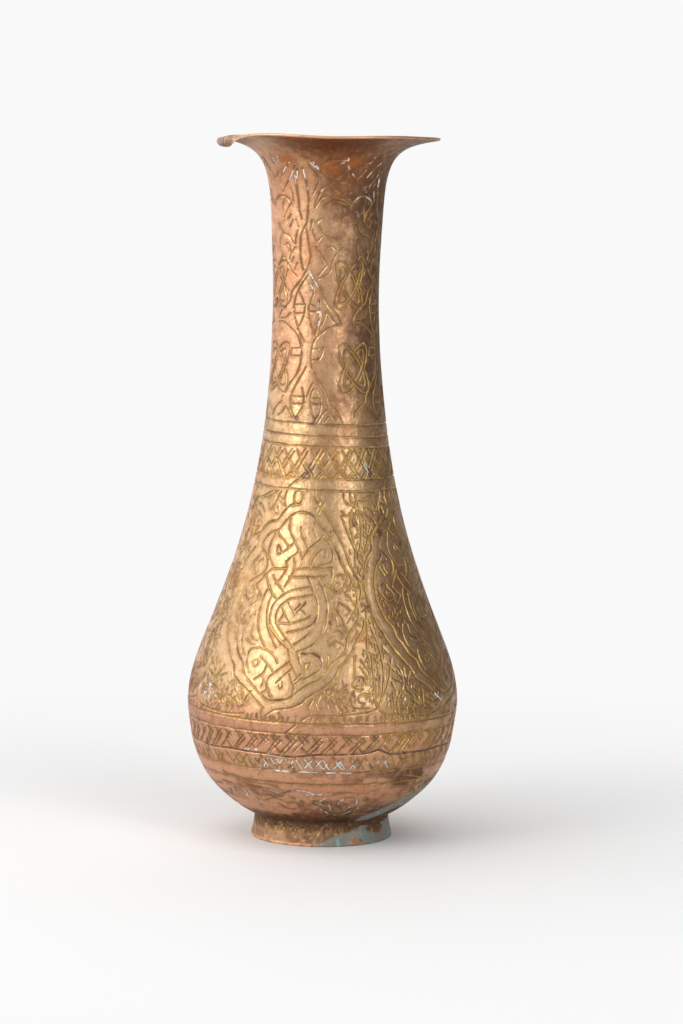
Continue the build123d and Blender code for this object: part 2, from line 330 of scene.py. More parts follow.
# Rungs, rays and filling strokes of the neck
NECK_GROUND = (
    (-34.5, 190.5, -24, 190.5),
    (-34.8, 187.3, -24, 187.5),
    (-16, 190.4, -8.4, 190.2),
    (-17, 188, -8, 188.1),
    (-34.5, 157.8, -23, 157.7),
    (-33.5, 155.2, -22.6, 155.3),
    (-12.6, 157.3, -6.6, 157.5),
    (-13, 155.6, -6.6, 155.3),
    (-27, 175, -38, 174.9, -38, 174.9, -39.6, 172.1),
    (-36, 172.2, -27.6, 172.3),
    (-14.6, 174.8, -8, 175),
    (-15, 170.9, -8, 171.2, -4.4, 172.6, -2.4, 175.4),
    (-30, 195, -26, 192.6, -23.4, 190.4),
    (-13.8, 194.6, -17, 191.6, -18.6, 189),
    (0, 188.6, -1, 186.4, -3, 184.4, -6, 182.5),
    (1.4, 187.6, 6, 185.8, 10.6, 184.2),
    (-57, 185.3, -50, 185.7, -45, 186.4, -41.6, 187.4),
    (-13, 162.8, -16, 160.4, -18.4, 158),
    (-20.4, 156, -24.4, 152.6, -28, 149.6),
    (1.4, 153.8, -4, 151, -7.4, 148.8),
    (2, 153.4, 6, 151.2, 10, 150),
    (2.6, 150.8, -1, 149),
    (-41.6, 154.2, -47, 152, -53, 150.8),
    (-41, 153.6, -36, 151.6, -32, 149.8),
    (-29.4, 240.4, -34, 237.6, -38, 235.4, -45, 232.6, -49.6, 230.4),
    (-23.4, 239, -22.6, 236.4, -20.6, 233.6),
    (-17.4, 240.2, -12, 237.6, -5.6, 235),
    (-16, 241, -6, 237.6, 2, 234.4, 8, 231.6, 12.6, 230.2),
    (-8, 234.6, -11, 232, -14, 229.8),
    (-2.8, 232.6, -8, 229.6, -12, 226.4, -13, 225),
    (-39, 232, -37.4, 229.6, -36.4, 227),
    (-32.4, 236.2, -32, 233, -31, 230.6),
    (-49, 228, -51, 225, -50.5, 221.5),
    (-39, 226.5, -44, 224.5, -48, 222.5, -50, 220),
    (-39.6, 222.6, -45, 220.4),
    (-37, 220.6, -42, 217.8),
    (-33.4, 220.8, -30.6, 218),
    (-31, 217, -33.5, 214.6, -35, 212),
    (-59, 219, -55, 217, -51, 215.8, -44, 215.2, -40, 213.6, -37, 212.3),
    (-57, 214, -57, 210, -53, 208),
    (-35, 211, -40, 208.8, -43, 206.5),
    (-50, 211.5, -46, 212.3, -42, 211, -42, 209),
    (-53, 207.8, -60, 205, -66, 202.5),
    (-50, 207.3, -45, 205, -40, 202.5, -34, 200.5),
    (-37, 207.4, -41, 205.4),
    (-33, 205.3, -36, 202.8),
    (-45, 203, -48, 201),
    (-58, 200, -53, 197.5, -47, 194.2),
    (-54, 200.4, -50, 197.8, -44, 195),
    (-15, 220.6, -17, 217.4),
    (-5.6, 221.2, -10, 220),
    (-15, 217.2, -12, 214.2, -10, 212.2),
    (-9, 219, -4, 216, 3, 214.7, 10, 213.6),
    (-2, 215.5, -6, 214.5, -9, 213.2),
    (-10, 211, -5, 208, 0, 205, -2, 203.5, -8, 201),
    (16, 211, 10, 208.5, 6, 205.5, 3, 202.5, -3, 200.8, -9, 199.8),
    (0, 210.5, 4, 211.7, 9, 210.5),
    (-47, 243, -50, 240.8, -57, 240.4),
    (-36, 240.8, -44, 238.2, -50, 235.6),
    (18, 242.4, 19.4, 239.4, 24, 237, 29.4, 235.4, 33, 236.4, 38, 238.4),
    (33, 243, 35, 240.6),
    (-4, 240.4, 2, 241.6, 10, 242, 17, 241.6),
    (4.6, 239.4, 9, 240.2, 15, 241),
    (-22, 243, -14, 241.4, -8, 238.6),
)

# Endless knots between the columns of the neck: azimuth, height, half length and half width in millimetres
KNOTS = ((26, 197.6, 9.6, 3.5), (31, 168.0, 10.0, 3.7))
# The neck's radius where they stand
KNOT_RADIUS = 20.0

# Scrolls on the underside of the bowl
SCROLLS = (
    (-57, 23.5, -50, 23.2, -44, 22.4, -37, 23, -30, 23.3, -25, 22.3, -20, 21),
    (-48, 18.8, -50.4, 20.2, -48, 21.8, -44, 21.5, -42, 20, -44, 18.6),
    (-40, 21, -37, 19.5, -35, 17.4, -37.6, 15),
    (-36, 21.6, -33, 19.6, -34.4, 17.6, -28, 18.8, -22, 20.4, -14, 23, -8, 22.6, -4, 21.6),
    (-16, 20.6, -11.6, 19),
    (-6, 20.4, -3.4, 18.6, -0.6, 17.4),
    (2, 20, -1, 18.4, 1, 16.8),
    (4, 17.4, 6, 14.8, 11, 12.9, 16, 13.4, 19.4, 15.5, 19.4, 18.4, 16, 20, 12, 19.8, 9.4, 18, 10.4, 16.2,
     13.4, 15.8),
    (21, 15.4, 25, 14.6),
    (-8, 21.4, 0, 21.5, 10, 22.2, 20, 21.4, 28, 22.6),
    (-52, 27.4, -42, 25.6, -32, 24.6, -22, 24.4),
    (-30, 21.4, -24, 19.6, -18, 17.6),
    (-24, 17.4, -20, 15.4, -14, 15.2, -12, 16.8, -15, 18.2, -19, 17.4),
    (-1, 15.4, 3, 13.8, 5, 12.4),
    (22, 19.6, 26, 17.8, 30, 18.6, 33, 20.4),
    (11.6, 17.8, 14.6, 17.2, 16, 15.8),
)

# The rows of repeated strokes: lowest and highest, with how many go round the vase
PLAIT_ROW = (129.6, 140.0, 27)
SLASH_ROW = (36.4, 43.0, 60)
TICK_ROW = (47.5, 50.0, 130)
CROSS_ROW = (30.2, 36.0, 92)

# How each kind of line is cut: width and depth in millimetres
PENS = {
    "frame": (0.7, 0.34),
    "strap": (0.64, 0.31),
    "fine": (0.56, 0.26),
    "rule": (0.62, 0.26),
    "hatch": (0.62, 0.28),
    "slash": (0.7, 0.3),
    "scroll": (0.6, 0.22),
    "chip": (0.48, 0.2),
}


def turned(strokes, turn):
    """The strokes, turned about the axis by some degrees."""
    return [[value + turn * (index % 2 == 0) for index, value in enumerate(stroke)] for stroke in strokes]


def lifted(height):
    """The height on the vase of something drawn at a height."""
    return height + LIFT * np.sin(math.pi * height / LIP_TOP) ** 2


def ruled_line(height):
    """A line scribed right round the vase, slightly out of level."""
    stroke = []
    for azimuth in range(0, 361, 6):
        stroke += [azimuth, height - RULE_TILT * math.sin(math.radians(azimuth))]
    return stroke


def plait(low, high, count):
    """A flat plait: double strokes up to the right, double strokes back down under them, corner stubs."""
    pitch = 360 / count
    twin = 0.19 * pitch
    middle = (low + high) / 2
    strokes = []
    for start in pitch * np.arange(count):
        for shift, sink in ((0, 0.0), (twin, 1.1)):
            left = start + shift
            strokes.append([left, middle - 1.6 - sink, left + 0.72 * pitch, high - 0.4 - sink])
            back = left + 0.42 * pitch
            strokes.append([back, middle + 1.1, left + 1.16 * pitch, low + 0.1 + sink / 2])
            strokes.append([back, low - 0.5, left + 0.74 * pitch, low + 1.7])
        strokes.append([start + 0.1 * pitch, high - 0.8, start + 0.34 * pitch, high - 2.9])
    return strokes


def slash_row(low, high, count, chooser):
    """A row of slashes up to the right, some of them double, with short strokes back down at their heads."""
    pitch = 360 / count
    strokes = []
    for step in range(count):
        start = (step + chooser.uniform(-0.12, 0.12)) * pitch
        head = high - chooser.uniform(0.1, 0.9)
        strokes.append([start, low + chooser.uniform(0.1, 0.9), start + 1.05 * pitch, head])
        if step % 3 != 1:
            strokes.append([start + 0.26 * pitch, low + 0.2, start + 1.16 * pitch, head - 1.3])
        for shift, drop in ((0.42, 2.9), (0.66, 2.3)):
            left = start + shift * pitch
            strokes.append([left, high - 0.2, left + 0.42 * pitch, high - drop])
        if step % 2 == 0:
            strokes.append([start + 0.62 * pitch, low + 2.6, start + 1.05 * pitch, low + 0.3])
    return strokes


def cross_row(low, high, count, chooser):
    """A row of small uneven crosses."""
    strokes = []
    for step in range(count):
        start = (step + chooser.uniform(-0.2, 0.2)) * 360 / count
        foot = low + chooser.uniform(0.3, 1.4)
        head = high - chooser.uniform(0.3, 1.6)
        wide = chooser.uniform(2.4, 4.4)
        strokes.append([start, head, start + wide, foot])
        if step % 3 != 2:
            drop = chooser.uniform(0.2, 1.4)
            strokes.append([start + 0.4, foot + 0.3, start + wide * 0.9, head - drop])
    return strokes


def fan(azimuth, height, reach, low, high, count):
    """Strokes that spread from a point, between two directions in degrees above the level."""
    strokes = []
    for turn in np.radians(np.linspace(low, high, count)):
        across = math.cos(turn) * 1.4
        rise = math.sin(turn)
        near = [azimuth + 2 * across, height + 2 * rise]
        strokes.append(near + [azimuth + reach * across, height + reach * rise])
    return strokes


def knot(azimuth, height, long, wide):
    """Two long loops that cross in a lozenge. Each is a strap with two edges, over and under by turns."""
    strokes = []
    for lean, under_at_ends in ((60, True), (-60, False)):
        cos = math.cos(math.radians(lean))
        sin = math.sin(math.radians(lean))
        for length, width in ((long, wide), (0.74 * long, 0.66 * wide)):
            run = []
            for turn in np.radians(np.arange(0, 363, 6)):
                x, y = length * math.cos(turn), width * math.sin(turn)
                across, rise = x * cos - y * sin, x * sin + y * cos
                other = math.hypot((across * cos - rise * sin) / long, (across * sin + rise * cos) / wide)
                hidden = 0.68 < other < 1 and (abs(rise) > abs(across)) == under_at_ends
                if not hidden:
                    run += [azimuth + math.degrees(across / KNOT_RADIUS), height + rise]
                if len(run) > 4 and (hidden or turn > 6.28):
                    strokes.append(run)
                if hidden:
                    run = []
    return strokes


def tick_row(low, high, count, chooser):
    """Short upright punch marks."""
    strokes = []
    for step in range(count):
        start = (step + chooser.uniform(-0.3, 0.3)) * 360 / count
        lean = chooser.uniform(-0.6, 0.6)
        foot = low + chooser.uniform(0.1, 0.7)
        strokes.append([start, foot, start + lean, high - chooser.uniform(0.1, 0.8)])
    return strokes


# ------------------------------------------------------------------------------------------------------
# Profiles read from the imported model
# ------------------------------------------------------------------------------------------------------
def smoothstep(value, low, high):
    """0 below low, 1 above high, smooth between."""
    share = np.clip((value - low) / (high - low), 0, 1)
    return share * share * (3 - 2 * share)


def tree_of(*nodes):
    """One ray-casting tree over some CAD nodes."""
    points, faces = [], []
    for node in nodes:
        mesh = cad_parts[node].data
        start = len(points)
        points += [vertex.co for vertex in mesh.vertices]
        faces += [tuple(start + corner for corner in face.vertices) for face in mesh.polygons]
    return BVHTree.FromPolygons(points, faces)


# Where round the vase its profile is probed, and how far the probes keep from the seam and the ruled lines
RAY_AZIMUTHS = range(3, 360, 45)
LINE_CLEARANCE = 0.8
# How many steps to each side a profile is smoothed over
UPPER_BLUR = 13
BOWL_BLUR = 6


def outward(azimuth):
    """The level direction away from the axis at an azimuth."""
    return Vector((math.sin(math.radians(azimuth)), -math.cos(math.radians(azimuth)), 0))


def outer_radius(tree, height):
    """The largest radius that level rays from outside meet."""
    best = 0.0
    for azimuth in RAY_AZIMUTHS:
        out = outward(azimuth)
        hit = tree.ray_cast(out * 0.2 + Vector((0, 0, height / METRE)), -out)[0]
        if hit is not None:
            best = max(best, math.hypot(hit.x, hit.y) * METRE)
    return best


def underside_height(tree, radius, start):
    """The lowest height that upright rays from a start height meet at a radius."""
    best = math.inf
    for azimuth in RAY_AZIMUTHS:
        start_point = outward(azimuth) * (radius / METRE) + Vector((0, 0, start / METRE))
        hit = tree.ray_cast(start_point, Vector((0, 0, 1)))[0]
        if hit is not None:
            best = min(best, hit.z * METRE)
    return best


class Profile:
    """A smooth outer profile: radius and height by length along it, with the outward normal."""

    STEP = 0.25

    def __init__(self, points, blur):
        points = np.array(points, float)
        for _ in range(2):
            length = lengths_along(points)
            even = np.linspace(0, length[-1], int(length[-1] / self.STEP) + 1)
            points = np.stack([blurred(np.interp(even, length, points[:, k]), blur) for k in (0, 1)], axis=1)
        self.radius, self.height = points.T
        self.length = lengths_along(points)
        slope = np.gradient(points, axis=0)
        slope /= np.hypot(slope[:, 0], slope[:, 1])[:, None]
        self.out_radius, self.out_height = slope[:, 1], -slope[:, 0]
        self.seam = self.length_at(SEAM_HEIGHT)

    def at(self, name, length):
        """The value of a named array at a length along the profile."""
        return np.interp(length, self.length, getattr(self, name))

    def length_at(self, height):
        """The length along the profile at a height."""
        return np.interp(height, self.height, self.length)

    def sway(self, length, azimuth):
        """How far a ring near the seam moves along the profile to follow the wavering seam."""
        return seam_wave(azimuth) * hump(length, self.seam, SEAM_FADE)


def lengths_along(points):
    """How far along a line each of its points is."""
    return np.concatenate([[0], np.cumsum(np.hypot(*np.diff(points, axis=0).T))])


def blurred(values, reach):
    """The values smoothed over some neighbours, with straight ends."""
    kernel = np.hanning(2 * reach + 1)
    padded = np.pad(values, reach, mode="reflect", reflect_type="odd")
    return np.convolve(padded, kernel / kernel.sum(), mode="valid")


def stations(low, high, step, rules):
    """Heights at an even step that keep clear of the seam and of the ruled lines."""
    taken = np.array([SEAM_HEIGHT] + [lifted(rule) for rule in rules])
    return [height for height in np.arange(low, high, step) if np.all(abs(height - taken) > LINE_CLEARANCE)]


def upper_profile():
    """From just under the seam to the edge of the lip."""
    tree = tree_of("upper_body", "lower_bowl")
    neck_top = LIP_TOP - 14
    heights = stations(SEAM_HEIGHT - 4, neck_top, 2.0, UPPER_RULES)
    points = [(outer_radius(tree, height), height) for height in heights]
    lip_tree = tree_of("upper_body")
    for radius in np.arange(points[-1][0] + 0.35, LIP_RADIUS - 0.5, 0.7):
        points.append((radius, underside_height(lip_tree, radius, neck_top - 30)))
    slope = (points[-1][1] - points[-2][1]) / (points[-1][0] - points[-2][0])
    points.append((LIP_RADIUS, points[-1][1] + slope * (LIP_RADIUS - points[-1][0])))
    return Profile(points, UPPER_BLUR)


def bowl_profile():
    """From the middle of the bowl's floor to just over the seam."""
    tree = tree_of("lower_bowl", "upper_body")
    bowl_tree = tree_of("lower_bowl")
    points = [(0.0, underside_height(bowl_tree, 3.0, 0))]
    for radius in np.arange(3.0, 35.0, 1.0):
        points.append((radius, underside_height(bowl_tree, radius, 0)))
    heights = stations(points[-1][1] + 0.8, SEAM_HEIGHT + 4, 1.3, BOWL_RULES)
    points += [(outer_radius(tree, height), height) for height in heights]
    return Profile(points, BOWL_BLUR)


def foot_profile():
    """The outside of the foot ring, from the table up."""
    tree = tree_of("foot_ring")
    heights = np.linspace(0.5, FOOT_TOP - 0.1, 12)
    radii = [outer_radius(tree, height) for height in heights]
    return heights, np.array(radii)


# ------------------------------------------------------------------------------------------------------
# Hand work: noise, dents, the bent lip and the wavering seam
# ------------------------------------------------------------------------------------------------------
def noise(points, size, seed):
    """Smooth noise between -1 and 1 at points (..., 3), with features of a size in millimetres."""
    cells = 32
    lattice = np.random.default_rng(SEED + seed).uniform(-1, 1, (cells, cells, cells))
    scaled = points / size + 0.37 * seed
    base = np.floor(scaled).astype(int)
    part = scaled - base
    part = part * part * part * (part * (part * 6 - 15) + 10)
    total = np.zeros(points.shape[:-1])
    for corner in range(8):
        step = np.array([corner & 1, corner >> 1 & 1, corner >> 2 & 1])
        weight = np.prod(np.where(step, part, 1 - part), axis=-1)
        index = (base + step) % cells
        total += weight * lattice[index[..., 0], index[..., 1], index[..., 2]]
    return total


def on_axis(azimuth, radius, height):
    """Points (..., 3) from azimuth in degrees, radius and height."""
    angle = np.radians(azimuth)
    return np.stack(np.broadcast_arrays(radius * np.sin(angle), -radius * np.cos(angle), height), axis=-1)


def angle_between(azimuth, centre):
    """How far an azimuth is from a centre, from -180 to 180 degrees."""
    return (azimuth - centre + 180) % 360 - 180


def hump(value, centre, width):
    """1 at a centre, falling to nothing some widths away."""
    return np.exp(-(((value - centre) / width) ** 2))


def bump(azimuth, centre, width):
    """The same round the vase, in degrees."""
    return hump(angle_between(azimuth, centre), 0, width)


# How far along the profile the seam's waver dies out
SEAM_FADE = 3.0


def seam_wave(azimuth):
    """How far the seam strays up or down at an azimuth."""
    angle = np.radians(azimuth)
    drift = 0.35 * np.sin(3 * angle + 1.0) + 0.25 * np.sin(7 * angle) + 0.12 * np.sin(17 * angle + 2)
    return drift + 1.5 * bump(azimuth, 25, 3.6) - 0.6 * bump(azimuth, -15, 9) - 0.5 * np.sin(angle)


# The lip's bends: azimuth and width in degrees, rise in millimetres
LIP_BENDS = (
    (-62, 34, 1.0),
    (-25, 22, 0.6),
    (32, 26, 0.55),
    (165, 48, -1.2),
    (215, 30, -0.9),
)
# The part of the lip that is turned down: where and how wide it is, the radius where its bend starts, how
# much the metal is drawn out there and how far it is bent, in degrees
CURL_AZIMUTH = -74.0
CURL_WIDTH = 27.0
CURL_RADIUS = LIP_RADIUS - 4.0
CURL_DRAW = 1.5
CURL_BEND = 150.0


def curled(azimuth, radius, base_radius, base_height):
    """The new radius and the drop of metal near the lip's edge, where it is bent over into a hook."""
    share = bump(azimuth, CURL_AZIMUTH, CURL_WIDTH) * (base_height > LIP_TOP - 12)
    beyond = np.maximum(base_radius - CURL_RADIUS, 0) * share
    length = beyond * (1 + CURL_DRAW / (LIP_RADIUS - CURL_RADIUS))
    full = (LIP_RADIUS - CURL_RADIUS + CURL_DRAW) / math.radians(CURL_BEND)
    angle = length / full
    return radius - beyond + full * np.sin(angle), full * (1 - np.cos(angle))


def placed(azimuth, base_radius, base_height, out_radius, out_height, offset):
    """Points of the finished metal: the true profile, pushed out by an offset, then dented and bent."""
    flat = on_axis(azimuth, base_radius, base_height)
    dent = 0.26 * noise(flat, 42.0, 1) + 0.1 * noise(flat, 17.0, 2) + 0.035 * noise(flat, 6.5, 3)
    dent = dent * smoothstep(base_height, 8.0, 16.0)
    radius = base_radius + out_radius * (offset + dent)
    height = base_height + out_height * (offset + dent)
    flare = smoothstep(base_height, LIP_TOP - 12, LIP_TOP - 1) * smoothstep(base_radius, 24.0, LIP_RADIUS)
    for centre, width, rise in LIP_BENDS:
        height = height + rise * flare * bump(azimuth, centre, width)
    radius, drop = curled(azimuth, radius, base_radius, base_height)
    return on_axis(azimuth, radius, height - drop)


# ------------------------------------------------------------------------------------------------------
# Engraving
# ------------------------------------------------------------------------------------------------------
class Skin:
    """The outside of a piece as a grid: rows climb its profile, columns go round it."""

    # How far a stroke is stamped round its middle, and the distance that stands for plain metal
    REACH = 1.5
    FAR = 3.2

    def __init__(self, profile, start, end):
        self.profile = profile
        rows = int(round((end - start) / ROW_PITCH)) + 1
        self.row_length = np.linspace(start, end, rows)
        self.azimuth = np.arange(COLUMNS) * 360.0 / COLUMNS
        even_length = self.row_length[:, None]
        self.length = even_length + profile.sway(even_length, self.azimuth[None, :])
        self.radius = profile.at("radius", self.length)
        self.height = profile.at("height", self.length)
        self.cut = np.zeros(self.length.shape)
        self.near = np.full(self.length.shape, self.FAR)

    def engrave(self, stroke, pen, chooser):
        """Cuts one stroke with a pen, with the waver and pressure of a hand."""
        width, depth = PENS[pen]
        azimuth, length = self.path(stroke, chooser)
        count = len(azimuth)
        pressure = 1 + 0.16 * waver(count, 14, chooser) + 0.07 * waver(count, 5, chooser)
        radius = self.profile.at("radius", length)

        # The block of grid points round each point of the stroke
        level = length - self.profile.sway(length, azimuth)
        row = np.interp(level, self.row_length, np.arange(len(self.row_length)))
        rows = np.arange(-int(self.REACH / ROW_PITCH) - 1, int(self.REACH / ROW_PITCH) + 2)
        span = int(self.REACH / (radius.min() * 2 * math.pi / COLUMNS)) + 1
        columns = np.arange(-span, span + 1)
        row_index = np.rint(row).astype(int)[:, None, None] + rows[None, :, None]
        column_index = np.rint(azimuth / 360 * COLUMNS).astype(int)[:, None, None] + columns[None, None, :]
        inside = (row_index >= 0) & (row_index < len(self.row_length))
        row_index = np.clip(row_index, 0, len(self.row_length) - 1)

        # How far each of them is from the stroke, and how deep the cut is there
        around = np.radians(column_index * 360.0 / COLUMNS - azimuth[:, None, None]) * radius[:, None, None]
        column_index = column_index % COLUMNS
        row_index, column_index, inside = np.broadcast_arrays(row_index, column_index, inside)
        climb = self.length[row_index, column_index] - length[:, None, None]
        distance = np.hypot(around, climb)
        half_width = (width / 2 * pressure)[:, None, None]
        keep = inside & (distance < self.REACH)
        share = np.clip(1 - (distance / half_width) ** 2, 0, 1) ** 1.4
        depths = depth * pressure[:, None, None] * share
        np.maximum.at(self.cut, (row_index[keep], column_index[keep]), depths[keep])
        gap = np.maximum(distance - half_width, 0)
        np.minimum.at(self.near, (row_index[keep], column_index[keep]), gap[keep])

    def path(self, stroke, chooser):
        """A stroke as closely spaced azimuths and lengths along the profile."""
        points = rounded(np.array(stroke, float).reshape(-1, 2))
        points[:, 1] = lifted(points[:, 1])
        length = self.profile.length_at(points[:, 1])
        radius = self.profile.at("radius", length)
        step = np.hypot(np.radians(np.diff(points[:, 0])) * radius[1:], np.diff(length))
        along = np.concatenate([[0], np.cumsum(step)])
        count = max(int(along[-1] / 0.13), 3)
        even = np.linspace(0, along[-1], count)
        azimuth = np.interp(even, along, points[:, 0])
        length = np.interp(even, along, length)
        strength = 0.16 * min(1.0, along[-1] / 6)
        azimuth = azimuth + np.degrees(strength * waver(count, 26, chooser) / radius.mean())
        length = length + strength * waver(count, 26, chooser) + 0.05 * waver(count, 8, chooser)
        return azimuth, length

    def spread(self):
        """Carries the distance to the nearest cut out over the plain metal, by repeated small steps."""
        column_pitch = np.radians(360 / COLUMNS) * self.radius
        slant = np.hypot(column_pitch, ROW_PITCH)
        for _ in range(9):
            for shift in (-1, 1):
                self.near = np.minimum(self.near, np.roll(self.near, shift, axis=1) + column_pitch)
            upper, lower = self.near[1:].copy(), self.near[:-1].copy()
            self.near[:-1] = np.minimum(self.near[:-1], upper + ROW_PITCH)
            self.near[1:] = np.minimum(self.near[1:], lower + ROW_PITCH)
            for shift in (-1, 1):
                turned_near = np.roll(self.near, shift, axis=1)
                self.near[:-1] = np.minimum(self.near[:-1], turned_near[1:] + slant[:-1])
                self.near[1:] = np.minimum(self.near[1:], turned_near[:-1] + slant[1:])

    def relief(self):
        """Height of the worked surface over the plain one: cuts, the burr beside them, and puffed ground."""
        burr = 0.05 * hump(self.near, 0.22, 0.2) * (self.cut < 0.02)
        puff = 0.1 * (1 - np.exp(-self.near / 1.1)) - 0.06
        worked = smoothstep(self.FAR - self.near, 0.0, 1.2)
        return burr + puff * worked - self.cut

    def chips(self, zones, straps, chooser):
        """Short upright chisel marks on the ground inside oval zones, clear of cuts and smooth straps."""
        smooth = [self.path(strap, chooser) for strap in straps]
        azimuths = np.concatenate([azimuth for azimuth, _ in smooth])
        lengths = np.concatenate([length for _, length in smooth])
        for centre, height, half_turn, half_rise, pitch in zones:
            level = self.profile.length_at(height)
            radius = self.profile.at("radius", level)
            half_width = math.radians(half_turn) * radius
            count = int(4 * half_width * half_rise / pitch**2)
            for _ in range(count):
                across = chooser.uniform(-1, 1)
                rise = chooser.uniform(-1, 1)
                lean = math.radians(chooser.normal(*CHIP_LEAN))
                size = chooser.uniform(*CHIP_LENGTH)
                azimuth = centre + across * half_turn
                spot = level + rise * half_rise
                around = np.radians(angle_between(azimuths, azimuth)) * radius
                row = round((spot - self.row_length[0]) / ROW_PITCH)
                row = int(np.clip(row, 0, len(self.row_length) - 1))
                taken = self.near[row, int(azimuth % 360 / 360 * COLUMNS)] < CHIP_CLEARANCE
                on_strap = np.min(np.hypot(around, lengths - spot)) < STRAP_REACH
                if math.hypot(across, rise) > 1 or taken or on_strap:
                    continue
                turn = math.degrees(size / 2 * math.cos(lean) / radius)
                climb = size / 2 * math.sin(lean)
                middle = float(self.profile.at("height", spot))
                mark = [azimuth - turn, middle - climb, azimuth + turn, middle + climb]
                self.engrave(mark, "chip", chooser)

    def points(self):
        """The finished surface, as a grid of points."""
        out_radius = self.profile.at("out_radius", self.length)
        out_height = self.profile.at("out_height", self.length)
        azimuth = self.azimuth[None, :]
        return placed(azimuth, self.radius, self.height, out_radius, out_height, self.relief())


def waver(count, pitch, chooser):
    """A smooth random run of values near -1 to 1, with a new value every pitch samples."""
    knots = chooser.normal(0, 0.6, max(int(count / pitch) + 4, 4))
    return np.interp(np.arange(count) / pitch + chooser.uniform(0, 1), np.arange(len(knots)), knots)


def rounded(points):
    """The points joined by a Catmull-Rom curve."""
    ends = np.concatenate([[2 * points[0] - points[1]], points, [2 * points[-1] - points[-2]]])
    share = np.linspace(0, 1, 9)[:-1, None]
    parts = []
    for before, first, last, after in zip(ends, ends[1:], ends[2:], ends[3:]):
        linear = (last - before) * share
        square = (2 * before - 5 * first + 4 * last - after) * share**2
        cube = (3 * first - before - 3 * last + after) * share**3
        parts.append(first + (linear + square + cube) / 2)
    return np.concatenate(parts + [points[-1:]])


def middle_line(first, second):
    """The line half way between two strokes that run the same way."""
    lines = []
    for stroke in (first, second):
        points = rounded(np.array(stroke, float).reshape(-1, 2))
        along = lengths_along(points)
        even = np.linspace(0, along[-1], 12)
        lines.append(np.stack([np.interp(even, along, points[:, k]) for k in (0, 1)], axis=1))
    return ((lines[0] + lines[1]) / 2).ravel()


def engraved_upper(profile):
    """The upper body's skin with all its chasing."""
    chooser = np.random.default_rng(SEED)
    skin = Skin(profile, profile.seam + EDGE_GAP, profile.length[-1] - 0.1)
    work = [(ruled_line(height), "rule") for height in UPPER_RULES]
    for turn in BODY_TURNS:
        work += [(stroke, "frame") for stroke in turned(MEDALLION_FRAME, turn)]
        work += [(stroke, "strap") for stroke in turned(INTERLACE, turn)]
        work += [(stroke, "fine") for stroke in turned(MEDALLION_GROUND + SPANDREL, turn)]
        work += [(stroke, "fine") for place in FANS for stroke in turned(fan(*place), turn)]
    for turn in NECK_TURNS:
        work += [(stroke, "strap") for stroke in turned(NECK_STRAPS, turn)]
        work += [(stroke, "fine") for stroke in turned(NECK_GROUND, turn)]
        work += [(stroke, "strap") for place in KNOTS for stroke in turned(knot(*place), turn)]
    work += [(stroke, "hatch") for stroke in plait(*PLAIT_ROW)]
    work += [(stroke, "slash") for stroke in slash_row(*SLASH_ROW, chooser)]
    work += [(stroke, "hatch") for stroke in tick_row(*TICK_ROW, chooser)]
    for stroke, pen in work:
        skin.engrave(stroke, pen, chooser)
    straps = [middle_line(*pair) for pair in FRAME_STRAPS + INTERLACE_STRAPS]
    straps = [stroke for turn in BODY_TURNS for stroke in turned(straps, turn)]
    zones = [(centre + turn, *place) for turn in BODY_TURNS for centre, *place in CHIP_ZONES]
    skin.chips(zones, straps, chooser)
    skin.spread()
    return skin


def engraved_bowl(profile):
    """The bowl's skin with all its chasing."""
    chooser = np.random.default_rng(SEED + 1)
    start = np.interp(BOWL_GRID_RADIUS, profile.radius, profile.length)
    skin = Skin(profile, start, profile.seam - EDGE_GAP)
    work = [(ruled_line(height), "rule") for height in BOWL_RULES]
    work += [(stroke, "hatch") for stroke in cross_row(*CROSS_ROW, chooser)]
    for turn in BOWL_TURNS:
        work += [(stroke, "scroll") for stroke in turned(SCROLLS, turn)]
    for stroke, pen in work:
        skin.engrave(stroke, pen, chooser)
    skin.spread()
    return skin


# ------------------------------------------------------------------------------------------------------
# Where the metal is cut, grimy, chalked, green, coppery, dark with tarnish and painted shade, orange, or
# bright with wear and painted highlights, from 0 to 1
# ------------------------------------------------------------------------------------------------------
MARKS = ("cut", "gold", "near", "chalk", "verdigris", "warm", "dark", "orange", "rubbed")

# Places where white polish has dried in the cuts: azimuth, height, reach in degrees and in millimetres
CHALK_SPOTS = (
    (-32, 237.6, 12, 4.2), (-21, 236, 4, 5), (-12, 238, 8, 4.2), (-48, 240.4, 13, 3.2), (-24, 228, 4, 3),
    (-7, 231, 3, 2), (22, 238.8, 11, 4.2), (50, 236, 12, 9), (34, 226, 5, 3), (-15, 200, 8, 4),
    (-7, 188, 3, 5), (26, 201, 2, 1.5), (42, 180, 4, 4), (-14, 33, 16, 2.6), (8, 33, 12, 2.4),
    (24, 32, 9, 2), (-5, 29.9, 30, 1.3), (-30, 36, 8, 2), (-60, 55, 8, 4), (58, 54, 4, 2),
    (40, 134, 5, 3), (10, 16, 16, 6), (-12, 21, 18, 2.8), (-37, 15.5, 5, 2.5), (-44, 20, 7, 2.2),
    (150, 236, 12, 5), (205, 33, 20, 3), (120, 58, 10, 5), (240, 200, 10, 6),
)

# Orange-copper patches under the lip: azimuth, height, reach in degrees and in millimetres
ORANGE_SPOTS = (
    (3, 239.4, 16, 3.6), (19, 241.2, 12, 2.6), (-38, 242, 14, 1.8), (160, 238, 14, 4),
)

# Rust-brown blots: azimuth, height, reach in degrees and in millimetres
BLOTS = (
    (42, 111.8, 3.0, 1.7), (47.6, 118.9, 2.4, 1.3), (43.4, 115.2, 1.2, 3.0), (-8, 172.5, 1.2, 0.7),
    (228, 96, 4, 2),
)


